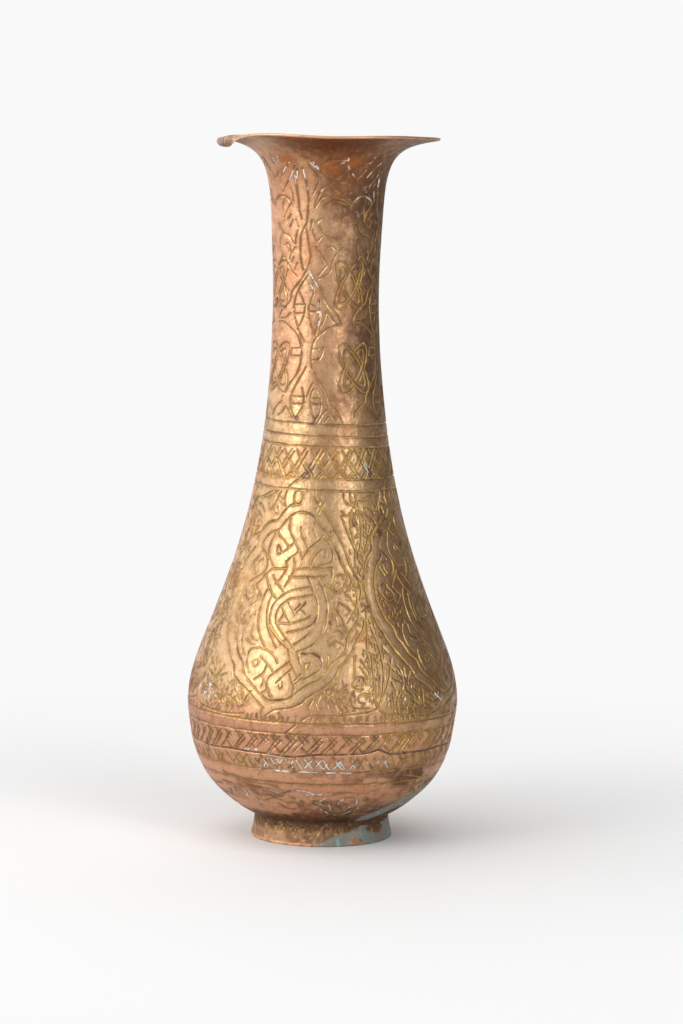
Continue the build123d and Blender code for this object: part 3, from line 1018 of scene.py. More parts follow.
def spots(azimuth, height, places):
    """1 inside the listed places, fading at their edges."""
    total = np.zeros(np.broadcast(azimuth, height).shape)
    for centre, level, wide, tall in places:
        apart = (angle_between(azimuth, centre) / wide) ** 2 + ((height - level) / tall) ** 2
        total = np.maximum(total, np.exp(-(apart**2)))
    return total


def verdigris_run(azimuth, height):
    """A green run from the right of the bowl down on to the front right of the foot."""
    level = 8.4 + angle_between(azimuth, 28) * 0.27
    front = hump(height, level, 3.6) * smoothstep(angle_between(azimuth, 22), 0, 8)
    front = front * smoothstep(angle_between(100, azimuth), 0, 30)
    back = hump(height, 17, 5.0) * bump(azimuth, 200, 24) * 0.7
    return np.maximum(front, back)


def warmth(azimuth, height):
    """How coppery the metal is: golden on the belly, pinker on the neck, copper below the belly."""
    right = smoothstep(azimuth, 5, 45) * bump(azimuth, 60, 60)
    below = smoothstep(60 - 8 * right - height, 0, 14) * (1 - 0.45 * right)
    below = below - 0.3 * hump(height, 33.4, 2.4)
    neck = (0.22 + 0.35 * bump(azimuth, -50, 50)) * smoothstep(height, 140, 190)
    left = 0.2 * bump(azimuth, -75, 30) * smoothstep(90 - height, 0, 40)
    edge = 0.3 * smoothstep(-azimuth, 58, 80)
    return 0.04 + 0.85 * below + neck + left + edge


def tarnish_and_shade(azimuth, height):
    """How dark the metal is: brown tarnish, with painted shade on the right, under the lip, at the left edge
    and in the crease.
    """
    # Painted shade on the right, the side away from the key light, stronger up the neck
    right = 0.25 * bump(azimuth, 66, 34) * (1 + 0.7 * smoothstep(height, 140, 170))
    right = right * (1 + 1.0 * smoothstep(height, 212, 232))
    right_neck_shade = 0.36 * smoothstep(azimuth, -8, 24) * bump(azimuth, 40, 70) * smoothstep(height, 146, 166)
    # Painted shade under the lip on the right, and a painted shadow on the underside of the flared lip
    under_lip_shade = 0.76 * smoothstep(height, LIP_TOP - 36, LIP_TOP - 12) * smoothstep(azimuth, -34, 6)
    under_lip_shade = under_lip_shade * bump(azimuth, 40, 90)
    shadow = 0.8 * smoothstep(height, LIP_TOP - 10, LIP_TOP - 4) * (1 - 0.9 * bump(azimuth, -78, 32))
    # Darker on the turned-down hook of the lip
    hook = 0.85 * smoothstep(height, LIP_TOP - 4, LIP_TOP - 1) * bump(azimuth, -82, 26)
    seam_side = 0.25 * hump(height, 46, 4.5) * bump(azimuth, -55, 38)
    # Painted shade down the left edge, darkest near the base of the neck
    left_edge_shade = 0.16 + 0.35 * hump(height, 150, 13)
    left_edge_shade = left_edge_shade * smoothstep(-azimuth, 52, 74) * smoothstep(height, 50, 60)
    # Painted shade in the crease where the bowl curves in over the foot
    crease = 1.1 * smoothstep(15 - height, 0, 4.5)
    # A painted highlight on the left of the neck, under the key light
    neck_highlight = 0.1 * bump(azimuth, -45, 40) * smoothstep(height, 145, 165)
    below = 0.2 * smoothstep(46 - height, 0, 4)
    high = right_neck_shade + under_lip_shade + shadow + hook - neck_highlight
    return 0.18 + right + high + seam_side + left_edge_shade + crease - below


def cut_gold(azimuth, height):
    """How much yellow shows in the cuts: clean metal, with more painted glint towards the shaded right."""
    belly = (0.75 + 0.25 * smoothstep(angle_between(azimuth, 5), 0, 25)) * smoothstep(height, 45, 50)
    belly = belly * smoothstep(170 - height, 0, 30)
    brown_row = 0.5 * hump(height, 40, 4) * smoothstep(20 - azimuth, 0, 12)
    low = (0.6 + 0.35 * smoothstep(azimuth, 15, 35) - brown_row) * smoothstep(50 - height, 0, 5)
    neck = (0.4 + 0.5 * bump(azimuth, 50, 34)) * smoothstep(height, 150, 165)
    return belly + low + neck - 0.2 * smoothstep(height, LIP_TOP - 24, LIP_TOP - 14)


def rim_wear_and_highlight(azimuth):
    """How bright the lip's edge is at an azimuth, from wear and a painted highlight: bright in front on the
    left under the key light, dark on the right.
    """
    front = 0.9 * bump(azimuth, -20, 34) + 0.6 * bump(azimuth, 28, 10)
    return np.clip(front + 0.7 * bump(azimuth, 180, 60), 0, 1)


def skin_marks(skin, points):
    """The marks of an engraved skin, one value per point for each name in MARKS."""
    azimuth = angle_between(skin.azimuth, 0)[None, :] + np.zeros(skin.height.shape)
    height = skin.height
    broad, middle, small = (noise(points, size, seed) for size, seed in ((30.0, 11), (9.0, 12), (2.6, 13)))
    cut = np.clip(skin.cut / 0.2, 0, 1)
    near = np.exp(-skin.near / 0.6)
    crumbs = noise(points, 1.5, 15)
    filled = smoothstep(skin.cut, 0.07, 0.15) * smoothstep(crumbs + 0.6 * small + 0.3 * middle, -0.3, 0.0)
    chalk = filled * smoothstep(spots(azimuth, height, CHALK_SPOTS), 0.2, 0.6)
    green = smoothstep(verdigris_run(azimuth, height) + 0.3 * middle + 0.2 * small, 0.4, 0.8)
    warm = warmth(azimuth, height) + 0.25 * broad + 0.15 * middle
    dark = tarnish_and_shade(azimuth, height) + 0.2 * broad + 0.14 * middle + 0.06 * small
    streaks = smoothstep(noise(points * (0.4, 0.4, 1.6), 6.0, 14) + 0.3 * small, 0.0, 0.5)
    dark = dark + 0.65 * streaks * smoothstep(34 - height, 0, 6)
    grounds = [(centre + turn, *oval) for turn in BODY_TURNS for centre, *oval, _ in CHIP_ZONES]
    dark = dark + 0.2 * spots(azimuth, height, grounds) * smoothstep(near, 0.1, 0.5)
    blot = smoothstep(spots(azimuth, height, BLOTS) + 0.25 * small, 0.3, 0.8)
    dark = dark + 0.9 * blot
    orange = smoothstep(spots(azimuth, height, ORANGE_SPOTS) + 0.35 * middle + 0.2 * small, 0.0, 1.15)
    orange = np.maximum(orange, 0.45 * blot)
    tint = 0.4 * smoothstep(height, LIP_TOP - 26, LIP_TOP - 10) * bump(azimuth, 0, 55)
    orange = np.maximum(orange, tint + 0.1 * middle)
    # Bright wear and a painted highlight along the lip's edge
    rubbed = smoothstep(skin.row_length[:, None], skin.row_length[-1] - 0.8, skin.row_length[-1])
    rubbed = rubbed * smoothstep(height, LIP_TOP - 9, LIP_TOP - 6) * rim_wear_and_highlight(azimuth)
    gold = cut * cut_gold(azimuth, height) * smoothstep(small + 0.7 * middle, -0.9, -0.2)
    marks = (cut, gold, near, chalk, green, warm, dark, orange, rubbed)
    return np.clip(np.stack(marks, axis=-1), 0, 1)


def plain_marks(points, **levels):
    """Marks for a surface that isn't engraved: each named mark is a number or one value per point."""
    marks = np.zeros((len(points), len(MARKS)))
    for name, level in levels.items():
        marks[:, MARKS.index(name)] = np.clip(level, 0, 1)
    return marks


# ------------------------------------------------------------------------------------------------------
# Meshes made from rings of points
# ------------------------------------------------------------------------------------------------------
class Ring:
    """One ring of mesh points, its place up the texture and its marks."""

    def __init__(self, points, level, marks):
        self.points = points
        self.level = level
        self.marks = marks


def bridge(first, second, start_a, start_b):
    """Faces between two rings, as (corner indices, texture places). The counts match, or one is double the
    other, or one ring is a single point."""
    count_a, count_b = len(first.points), len(second.points)
    coarse_first = count_a < count_b
    if coarse_first:
        fine_ring, coarse_ring, fine, coarse = second, first, start_b, start_a
    else:
        fine_ring, coarse_ring, fine, coarse = first, second, start_a, start_b
    low, high = fine_ring.level, coarse_ring.level
    count = min(count_a, count_b)
    here = np.arange(max(count_a, count_b) if count == 1 else count)
    after = (here + 1) % len(here)
    u, step = here / len(here), 1 / len(here)
    if count_a == count_b:
        corners = [start_a + here, start_a + after, start_b + after, start_b + here]
        places = [(u, low), (u + step, low), (u + step, high), (u, high)]
        return [(corners, places)]
    if count == 1:
        hub = np.full(len(here), coarse)
        groups = [([fine + here, fine + after, hub], [(u, low), (u + step, low), (u + step / 2, high)])]
    else:
        left, middle, right = fine + 2 * here, fine + 2 * here + 1, fine + (2 * here + 2) % (2 * count)
        half = u + step / 2
        groups = [
            ([left, middle, coarse + here], [(u, low), (half, low), (u, high)]),
            ([middle, right, coarse + after], [(half, low), (u + step, low), (u + step, high)]),
            ([middle, coarse + after, coarse + here], [(half, low), (u + step, high), (u, high)]),
        ]
    if coarse_first:
        return [(corners[::-1], places[::-1]) for corners, places in groups]
    return groups


def ring_mesh(name, rings, closed):
    """A smooth mesh object through rings of points. A closed one joins its last ring to its first."""
    starts = np.concatenate([[0], np.cumsum([len(ring.points) for ring in rings])])
    corners, places, sizes = [], [], []
    for index in range(len(rings) if closed else len(rings) - 1):
        after = (index + 1) % len(rings)
        for group_corners, group_places in bridge(rings[index], rings[after], starts[index], starts[after]):
            spread_places = [np.stack(np.broadcast_arrays(u, v), axis=-1) for u, v in group_places]
            corners.append(np.stack(group_corners, axis=1).ravel())
            places.append(np.stack(spread_places, axis=1).reshape(-1, 2))
            sizes.append(np.full(len(group_corners[0]), len(group_corners)))
    corners, places, sizes = map(np.concatenate, (corners, places, sizes))
    points = np.concatenate([ring.points for ring in rings])
    marks = np.concatenate([ring.marks for ring in rings])
    mesh = bpy.data.meshes.new(name)
    mesh.vertices.add(len(points))
    mesh.vertices.foreach_set("co", (points / METRE).astype(np.float32).ravel())
    mesh.loops.add(len(corners))
    mesh.loops.foreach_set("vertex_index", corners.astype(np.int32))
    mesh.polygons.add(len(sizes))
    mesh.polygons.foreach_set("loop_start", (np.cumsum(sizes) - sizes).astype(np.int32))
    mesh.update(calc_edges=True)
    mesh.polygons.foreach_set("use_smooth", np.ones(len(sizes), bool))
    layer = mesh.uv_layers.new(name="OFBake")
    layer.data.foreach_set("uv", places.astype(np.float32).ravel())
    for index, mark in enumerate(MARKS):
        attribute = mesh.attributes.new(mark, "FLOAT", "POINT")
        attribute.data.foreach_set("value", marks[:, index].astype(np.float32))
    item = bpy.data.objects.new(name, mesh)
    bpy.context.scene.collection.objects.link(item)
    return item


def even_azimuths(count):
    """That many azimuths, evenly round the vase."""
    return np.arange(count) * 360.0 / count


def skin_ring(profile, count, length, offset, level, reach=0.0):
    """A level ring at a length along a profile, pushed out by an offset and along the profile by a reach."""
    azimuth = even_azimuths(count)
    out_radius, out_height = profile.at("out_radius", length), profile.at("out_height", length)
    length = length + profile.sway(length, azimuth)
    radius = profile.at("radius", length) - out_height * reach
    height = profile.at("height", length) + out_radius * reach
    points = placed(azimuth, radius, height, out_radius, out_height, offset)
    warm = 0.5 + 0.3 * noise(points, 20.0, 31)
    # Painted shade: darker the further below the lip, inside the vase and under the bowl
    dark = 0.25 + 0.5 * smoothstep(LIP_TOP - height, 1.0, 40.0) + 0.2 * noise(points, 9.0, 32)
    # Darker on the turned-down hook of the lip
    dark = dark + 0.6 * bump(azimuth, -80, 22) * smoothstep(height, LIP_TOP - 8, LIP_TOP - 2)
    return Ring(points, level, plain_marks(points, warm=warm, dark=dark))


# The outside's, the lip edge's and the inside's share of the texture's height on the upper body
OUTSIDE_SHARE = 0.86
LIP_SHARE = 0.006
INSIDE_SHARE = 0.13
# The rings over the lip's rounded edge, in degrees from its outside
LIP_EDGE_TURNS = (25, 60, 90, 120, 155)
# How much the corners of the lap are rounded
LAP_ROUNDING = 0.2


def inside_count(height):
    """How many points a ring inside the neck or the belly has: fewer, the further it is from the lip."""
    if height > LIP_TOP - 24:
        return COLUMNS // 2
    if height > LIP_TOP - 70:
        return COLUMNS // 4
    return COLUMNS // 8


def upper_rings(skin):
    """Rings of the upper body: up its outside, over the lip, down its inside and back to the seam."""
    profile = skin.profile
    points = skin.points()
    marks = skin_marks(skin, points)
    start, end = skin.row_length[0], skin.row_length[-1]
    rings = []
    for row, length in enumerate(skin.row_length):
        stride = 2 if profile.at("height", length) > NECK_START else 1
        level = OUTSIDE_SHARE * (length - start) / (end - start)
        rings.append(Ring(points[row, ::stride], level, marks[row, ::stride]))
    for turn in LIP_EDGE_TURNS:
        depth = WALL / 2 * (1 - math.cos(math.radians(turn)))
        reach = WALL / 2 * math.sin(math.radians(turn))
        level = OUTSIDE_SHARE + LIP_SHARE * turn / 180
        ring = skin_ring(profile, COLUMNS // 2, end, -depth, level, reach)
        ring.marks[:, MARKS.index("rubbed")] = rim_wear_and_highlight(even_azimuths(COLUMNS // 2))
        rings.append(ring)
    fine_end, coarse_end = profile.length_at(LIP_TOP - 28), profile.length_at(SEAM_HEIGHT + 8)
    lengths = np.concatenate([
        np.arange(end - 0.1, fine_end, -0.7),
        np.arange(fine_end, coarse_end, -2.5),
        np.linspace(coarse_end, start, 12),
    ])
    for length in lengths:
        count = inside_count(profile.at("height", length))
        level = OUTSIDE_SHARE + LIP_SHARE + INSIDE_SHARE * (end - length) / (end - start)
        rings.append(skin_ring(profile, count, length, -WALL, level))
    for coarseness, share in ((4, 0.98), (2, 0.95), (1, 0.9), (1, 0.1)):
        rings.append(skin_ring(profile, COLUMNS // coarseness, start, -WALL * share, 0.999))
    return rings


def disc_counts(radius):
    """How many points a ring near the axis needs."""
    for limit, count in ((4, 64), (9, 128), (16, 256), (BOWL_GRID_RADIUS - 1.5, 512)):
        if radius < limit:
            return count
    return COLUMNS


def bowl_rings(skin, lap_profile):
    """Rings of the bowl: from its middle out and up to the seam, the lap inside it, and back down inside."""
    profile = skin.profile
    start, end = skin.row_length[0], skin.row_length[-1]
    points = skin.points()
    marks = skin_marks(skin, points)
    rings = []
    for length in np.arange(0, start - 0.2, 0.9):
        count = 1 if length == 0 else disc_counts(profile.at("radius", length))
        rings.append(skin_ring(profile, count, length, 0.0, 0.1 * length / start))
    for row, length in enumerate(skin.row_length):
        level = 0.1 + 0.7 * (length - start) / (end - start)
        rings.append(Ring(points[row], level, marks[row]))
    seam = lap_profile.seam
    outside, inside = -WALL - LAP_CLEARANCE, -2 * WALL - LAP_CLEARANCE
    for rise, offset in ((-EDGE_GAP, -0.1), (-EDGE_GAP + 0.1, -0.4), (0.3, outside), (1.5, outside)):
        rings.append(skin_ring(lap_profile, COLUMNS, seam + rise, offset, 0.805 + rise / 500))
    rounded_top = LAP_LENGTH - LAP_ROUNDING
    for rise, offset in ((rounded_top, outside), (LAP_LENGTH, outside - LAP_ROUNDING)):
        rings.append(skin_ring(lap_profile, COLUMNS, seam + rise, offset, 0.815 + rise / 2000))
    for rise, offset in ((LAP_LENGTH, inside + LAP_ROUNDING), (rounded_top, inside), (0.5, inside)):
        rings.append(skin_ring(lap_profile, COLUMNS // 2, seam + rise, offset, 0.83 - rise / 1000))
    wide_part = np.arange(profile.seam - 1.2, start + 2, -2.0)
    lengths = np.concatenate([wide_part, np.arange(start, 0.5, -1.4), [0]])
    for length in lengths:
        radius = profile.at("radius", length)
        count = 1 if length == 0 else min(COLUMNS // 4, disc_counts(radius - 2))
        rings.append(skin_ring(profile, count, length, -WALL, 0.98 - 0.14 * length / end))
    return rings


# The braze bead: half its width, how proud it stands, and the gap that keeps its film off the sheet
BEAD_HALF_WIDTH = 0.42
BEAD_PROUD = 0.07
FILM_GAP = 0.03


def braze_rings(profile):
    """The bead of hard solder round the seam, lumpy outside, with its film up the lap."""
    azimuth = even_azimuths(COLUMNS)
    around_seam = on_axis(azimuth, 46.0, 0.0)
    lumps = noise(around_seam, 2.2, 41) + 0.6 * noise(around_seam, 0.9, 42)
    section = []
    for rise in np.linspace(-BEAD_HALF_WIDTH, BEAD_HALF_WIDTH, 9):
        section.append((rise, BEAD_PROUD * (1 - (rise / BEAD_HALF_WIDTH) ** 2) - FILM_GAP, True))
    film_top = LAP_LENGTH - 0.02
    film_outside = -WALL - FILM_GAP
    film_inside = -WALL - LAP_CLEARANCE + FILM_GAP
    section += [(0.33, -0.15, False), (0.33, film_outside, False), (film_top, film_outside, False)]
    section += [(film_top, film_inside, False), (0.34, film_inside, False), (-0.3, -0.25, False)]
    rings = []
    for index, (rise, offset, outside) in enumerate(section):
        length = profile.seam + rise * (1 + 0.25 * lumps * outside)
        swayed = length + profile.sway(length, azimuth)
        points = placed(
            azimuth,
            profile.at("radius", swayed),
            profile.at("height", swayed),
            profile.at("out_radius", profile.seam),
            profile.at("out_height", profile.seam),
            offset * (1 + 0.5 * lumps * outside),
        )
        dark = 0.7 + 0.5 * abs(rise) + 0.3 * lumps
        rings.append(Ring(points, index / len(section), plain_marks(points, warm=0.6, dark=dark)))
    return rings


# ------------------------------------------------------------------------------------------------------
# Foot
# ------------------------------------------------------------------------------------------------------
# Half the width of the joint between the strip's two ends
JOINT_GAP = 0.29
# The tool scallops along the top: pitch in degrees, half width, half height and depth
SCALLOP_PITCH = 3.7
SCALLOP_WIDTH = 0.55
SCALLOP_REACH = 0.8
SCALLOP_DEPTH = 0.24
# The solder fillet's leg, and how far it stands off the bowl
FILLET_LEG = 0.95
FILLET_SKIN = 0.04
# How many sections the foot strip is made of
FOOT_SECTIONS = 900

# The left edge of the green on the foot: its azimuth at the table, and how far it leans right by the top
GREEN_START = -4.0
GREEN_SLANT = 40.0
# Brown patches in the green: azimuth, height, reach in degrees and in millimetres
FOOT_BROWN_SPOTS = ((52, 5.4, 11, 2.0), (30, 1.6, 6, 1.2))


def joint_azimuth(height):
    """Where the slanted joint in the foot strip lies at a height, in degrees."""
    low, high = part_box("foot_strip_joint")
    inset = JOINT_GAP / METRE
    x = low.x + inset + (high.x - low.x - 2 * inset) * height / FOOT_TOP
    y = (low.y + high.y) / 2
    return np.degrees(np.arctan2(x, -y))


def foot_surface(azimuth, height, profile, offset):
    """Points on the outside of the foot, out of round, with tool scallops along its top."""
    heights, radii = profile
    radius = np.interp(height, heights, radii)
    flat = on_axis(azimuth, radius, height)
    hollow = np.zeros(flat.shape[:-1])
    chooser = np.random.default_rng(SEED + 5)
    for place in np.arange(-52, 300, SCALLOP_PITCH):
        centre = place + chooser.uniform(-0.8, 0.8)
        level = chooser.uniform(5.2, 6.1)
        strength = chooser.uniform(0.4, 1.0) * (1.0 if place < 18 else 0.35)
        apart = (np.radians(angle_between(azimuth, centre)) * radius / SCALLOP_WIDTH) ** 2
        apart = apart + ((height - level) / SCALLOP_REACH) ** 2
        hollow = np.maximum(hollow, strength * np.exp(-apart))
    uneven = 0.12 * noise(flat, 24.0, 51) + 0.06 * noise(flat, 7.0, 52) + 0.025 * noise(flat, 1.6, 53)
    return on_axis(azimuth, radius + uneven + offset - SCALLOP_DEPTH * hollow, height), hollow


def foot_marks(points, azimuth, height, hollow):
    """The left of the foot is tan with a bottom edge bright with wear. The right is grey-green with brown
    patches. Painted shade darkens its top, under the bowl, and its left.
    """
    broad, middle, small = noise(points, 9.0, 54), noise(points, 4.5, 55), noise(points, 1.4, 56)
    beyond = angle_between(azimuth, GREEN_START + GREEN_SLANT * (height / FOOT_TOP) ** 1.2)
    right = smoothstep(beyond + 6 * middle, -5.0, 8.0)
    right = right * smoothstep(angle_between(95, azimuth) + 8 * middle, 0, 12)
    brown = spots(azimuth, height, FOOT_BROWN_SPOTS)
    patches = smoothstep(middle + 0.5 * broad + 0.4 * small, -0.35, 0.35)
    green = right * (1 - smoothstep(brown + 0.3 * middle, 0.1, 0.9)) * (0.5 + 0.35 * patches)
    run = hump(beyond, 5, 6)
    green = np.maximum(green, right * run * 0.8)
    top = smoothstep(height, 4.2, 6.4)
    rubbed = smoothstep(1.5 - height, 0, 0.9) * (1 - right) * 0.9
    left = smoothstep(-azimuth, 30, 75)
    # Painted shade along the top under the bowl, and on the left side
    dark = 0.36 + 0.35 * middle + 1.0 * top * (1 - hollow) + 0.2 * brown * right + 0.15 * left
    warm = 0.35 + 0.3 * middle + 0.25 * (height < 2.5)
    metal = {"dark": dark, "warm": warm, "rubbed": rubbed}
    return plain_marks(points, verdigris=green, cut=hollow, gold=0.8 * hollow, **metal)


def foot_rings(profile):
    """Sections of the foot strip, one after another, from one side of the joint right round to the other."""
    outside = np.concatenate([np.linspace(FOOT_TOP - 0.05, 0.5, 30), [0.32, 0.16, 0.05]])
    inset = np.concatenate([np.zeros(30), [0.03, 0.1, 0.24]])
    across = np.linspace(0.45, FOOT_WALL - 0.15, 4)
    inside = np.linspace(0.12, FOOT_TOP - 0.05, 12)
    height = np.concatenate([outside, np.zeros(4), inside, np.full(3, FOOT_TOP)])
    depth = np.concatenate([inset, across, np.full(12, FOOT_WALL), [1.0, 0.6, 0.2]])
    gap = np.degrees(JOINT_GAP / FOOT_RADIUS)
    rings = []
    for step in np.linspace(0, 1, FOOT_SECTIONS):
        azimuth = joint_azimuth(height) + gap + step * (360 - 2 * gap)
        points, hollow = foot_surface(azimuth, height, profile, -depth)
        hollow = hollow * (depth < 0.01)
        rings.append(Ring(points, step, foot_marks(points, azimuth, height, hollow)))
    return capped(rings)


def capped(rings):
    """The rings, with a point in the middle of each end."""
    ends = []
    for ring, level in ((rings[0], -0.001), (rings[-1], 1.0)):
        ends.append(Ring(ring.points.mean(axis=0)[None], level, ring.marks.mean(axis=0)[None]))
    return [ends[0]] + rings + [ends[1]]


def joint_rings(profile):
    """The ragged hard-solder line that joins the ends of the foot strip."""
    around = np.linspace(0, 2 * math.pi, 28, endpoint=False)
    rings = []
    for height in np.linspace(0.08, FOOT_TOP - 0.02, 44):
        ragged = noise(np.array([[0.0, 3.0, height]]), 1.3, 61)[0]
        side = noise(np.array([[9.0, 3.0, height]]), 0.9, 62)[0]
        wide = JOINT_GAP * 0.9 + (0.1 + 0.14 * abs(ragged)) * (np.sin(around) > 0)
        x = -np.cos(around) * wide + 0.05 * side
        proud = np.where(np.sin(around) > 0, np.sin(around) * (0.07 + 0.05 * ragged), 0)
        depth = np.where(np.sin(around) > 0, 0.0, FOOT_WALL * np.clip(-np.sin(around) * 2, 0, 1))
        azimuth = joint_azimuth(height) + np.degrees(x / FOOT_RADIUS)
        points, _ = foot_surface(azimuth, np.full(len(around), height), profile, proud - depth)
        dark = 0.3 + 0.35 * ragged + 0.3 * (np.abs(x) > wide * 0.8)
        marks = plain_marks(points, warm=0.4, dark=dark, verdigris=0.1)
        rings.append(Ring(points, height / FOOT_TOP, marks))
    return capped(rings)


def solder_rings(profile, bowl):
    """The soft solder in the crease over the foot, with a lumpy fillet inside and out."""
    azimuth = even_azimuths(COLUMNS)
    heights, radii = profile
    top_radius = np.interp(FOOT_TOP, heights, radii)
    top_edge = on_axis(azimuth, top_radius, 0.0)
    lumps = noise(top_edge, 2.6, 71)
    leg = FILLET_LEG * (1 + 0.3 * lumps + 0.2 * noise(top_edge, 8.0, 72))
    rings = []

    def add(radius, height, **levels):
        flat = on_axis(azimuth, radius + 0.12 * noise(top_edge, 24.0, 51), height)
        rings.append(Ring(flat, len(rings) / 24, plain_marks(flat, **levels)))

    def bowl_height(radius):
        return np.interp(radius, bowl.radius, bowl.height)

    corner = bowl_height(top_radius + 0.1)
    for turn in np.radians(np.linspace(0, 90, 9)):
        radius = top_radius + 0.02 + leg * (1 - math.cos(turn)) ** 1.1
        low = FOOT_TOP - leg * 0.9
        height = low + (corner + leg * 0.45 - low) * math.sin(turn) ** 0.9
        height = np.minimum(height, bowl_height(radius) + FILLET_SKIN)
        add(radius, height, dark=0.95 + 0.25 * lumps, warm=0.3)
    inner = top_radius - FOOT_WALL
    for radius in np.linspace(top_radius + 0.2, inner - 0.2, 4):
        add(radius, bowl_height(radius) + FILLET_SKIN, dark=0.6)
    for turn in np.radians(np.linspace(90, 0, 6)):
        radius = inner - 0.02 - leg * (1 - math.cos(turn))
        height = FOOT_TOP - leg + (bowl_height(inner) - FOOT_TOP + leg) * math.sin(turn)
        add(radius, np.minimum(height, bowl_height(radius) + FILLET_SKIN), dark=0.6)
    add(inner + 0.05, FOOT_TOP - 0.02, dark=0.6)
    add(top_radius - 0.05, FOOT_TOP - 0.02, dark=0.6)
    return rings


# ------------------------------------------------------------------------------------------------------
# Materials
# ------------------------------------------------------------------------------------------------------
GOLDEN = (0.59, 0.375, 0.19)
COPPER = (0.80, 0.39, 0.225)
BRIGHT_COPPER = (0.80, 0.44, 0.25)
PALE = (0.80, 0.56, 0.38)
BROWN = (0.155, 0.078, 0.043)
BLACK_BROWN = (0.05, 0.024, 0.012)
CUT_GOLD = (0.56, 0.36, 0.09)
ORANGE = (0.47, 0.145, 0.035)
CHALK = (0.92, 0.91, 0.87)
GREEN = (0.31, 0.40, 0.36)
BLUE_GREY = (0.38, 0.325, 0.305)
PINK_GREY = (0.42, 0.31, 0.25)
TURQUOISE = (0.44, 0.68, 0.64)
FOOT_TAN = (0.38, 0.225, 0.115)
FOOT_COPPER = (0.40, 0.215, 0.12)
HARD_SOLDER = (0.46, 0.32, 0.18)
HARD_SOLDER_WARM = (0.42, 0.26, 0.17)
SOFT_SOLDER = (0.22, 0.17, 0.11)
SOFT_SOLDER_WARM = (0.22, 0.14, 0.08)
METALLIC = 0.92
# Roughness of verdigris and chalk
CRUST_ROUGHNESS = 0.85


class Nodes:
    """A node tree, with short ways to add and join its nodes."""

    def __init__(self, tree):
        self.tree = tree

    def add(self, kind, inputs=None, **settings):
        """A new node with its settings, and with values or links for its inputs."""
        node = self.tree.nodes.new("ShaderNode" + kind)
        for name, value in settings.items():
            setattr(node, name, value)
        for socket, value in (inputs or {}).items():
            self.give(node.inputs[socket], value)
        return node

    def give(self, socket, value):
        """Links a socket to another one, or sets its value."""
        if isinstance(value, bpy.types.NodeSocket):
            self.tree.links.new(value, socket)
        elif isinstance(value, tuple) and len(value) == 3 and socket.type == "RGBA":
            socket.default_value = value + (1.0,)
        else:
            socket.default_value = value

    def math(self, operation, first, second, clamp=False):
        return self.add("Math", {0: first, 1: second}, operation=operation, use_clamp=clamp).outputs[0]

    def scaled(self, value, factor, shift):
        """A value times a factor, plus a shift."""
        return self.add("Math", {0: value, 1: factor, 2: shift}, operation="MULTIPLY_ADD").outputs[0]

    def step(self, value, low, high):
        """0 below low, 1 above high, smooth between."""
        limits = {"Value": value, "From Min": low, "From Max": high}
        return self.add("MapRange", limits, interpolation_type="SMOOTHSTEP").outputs["Result"]

    def mix(self, share, first, second):
        """The first colour where the share is 0, the second where it is 1."""
        return self.add("Mix", {0: share, 6: first, 7: second}, data_type="RGBA").outputs[2]

    def blend(self, share, first, second):
        """The same as mix, for single values."""
        return self.add("Mix", {0: share, 2: first, 3: second}).outputs[0]


class Shader(Nodes):
    """The node tree of a new material. Sizes are in millimetres."""

    def __init__(self, name):
        self.material = bpy.data.materials.new(name)
        self.material.use_nodes = True
        super().__init__(self.material.node_tree)
        self.surface = self.tree.nodes["Principled BSDF"]
        self.place = self.add("TexCoord").outputs["Object"]

    def mark(self, name):
        """One of the mesh's MARKS."""
        return self.add("Attribute", attribute_name=name).outputs["Fac"]

    def noise(self, size, detail=3.0, stretch=(1, 1, 1)):
        """Noise with features of a size in millimetres."""
        mapping = self.add("Mapping", {"Scale": stretch, "Vector": self.place})
        inputs = {"Vector": mapping.outputs[0], "Scale": METRE / size, "Detail": detail, "Roughness": 0.6}
        return self.add("TexNoise", inputs).outputs["Fac"]

    def bump(self, height, depth):
        inputs = {"Distance": depth / METRE, "Strength": 1.0, "Height": height}
        return self.add("Bump", inputs).outputs["Normal"]


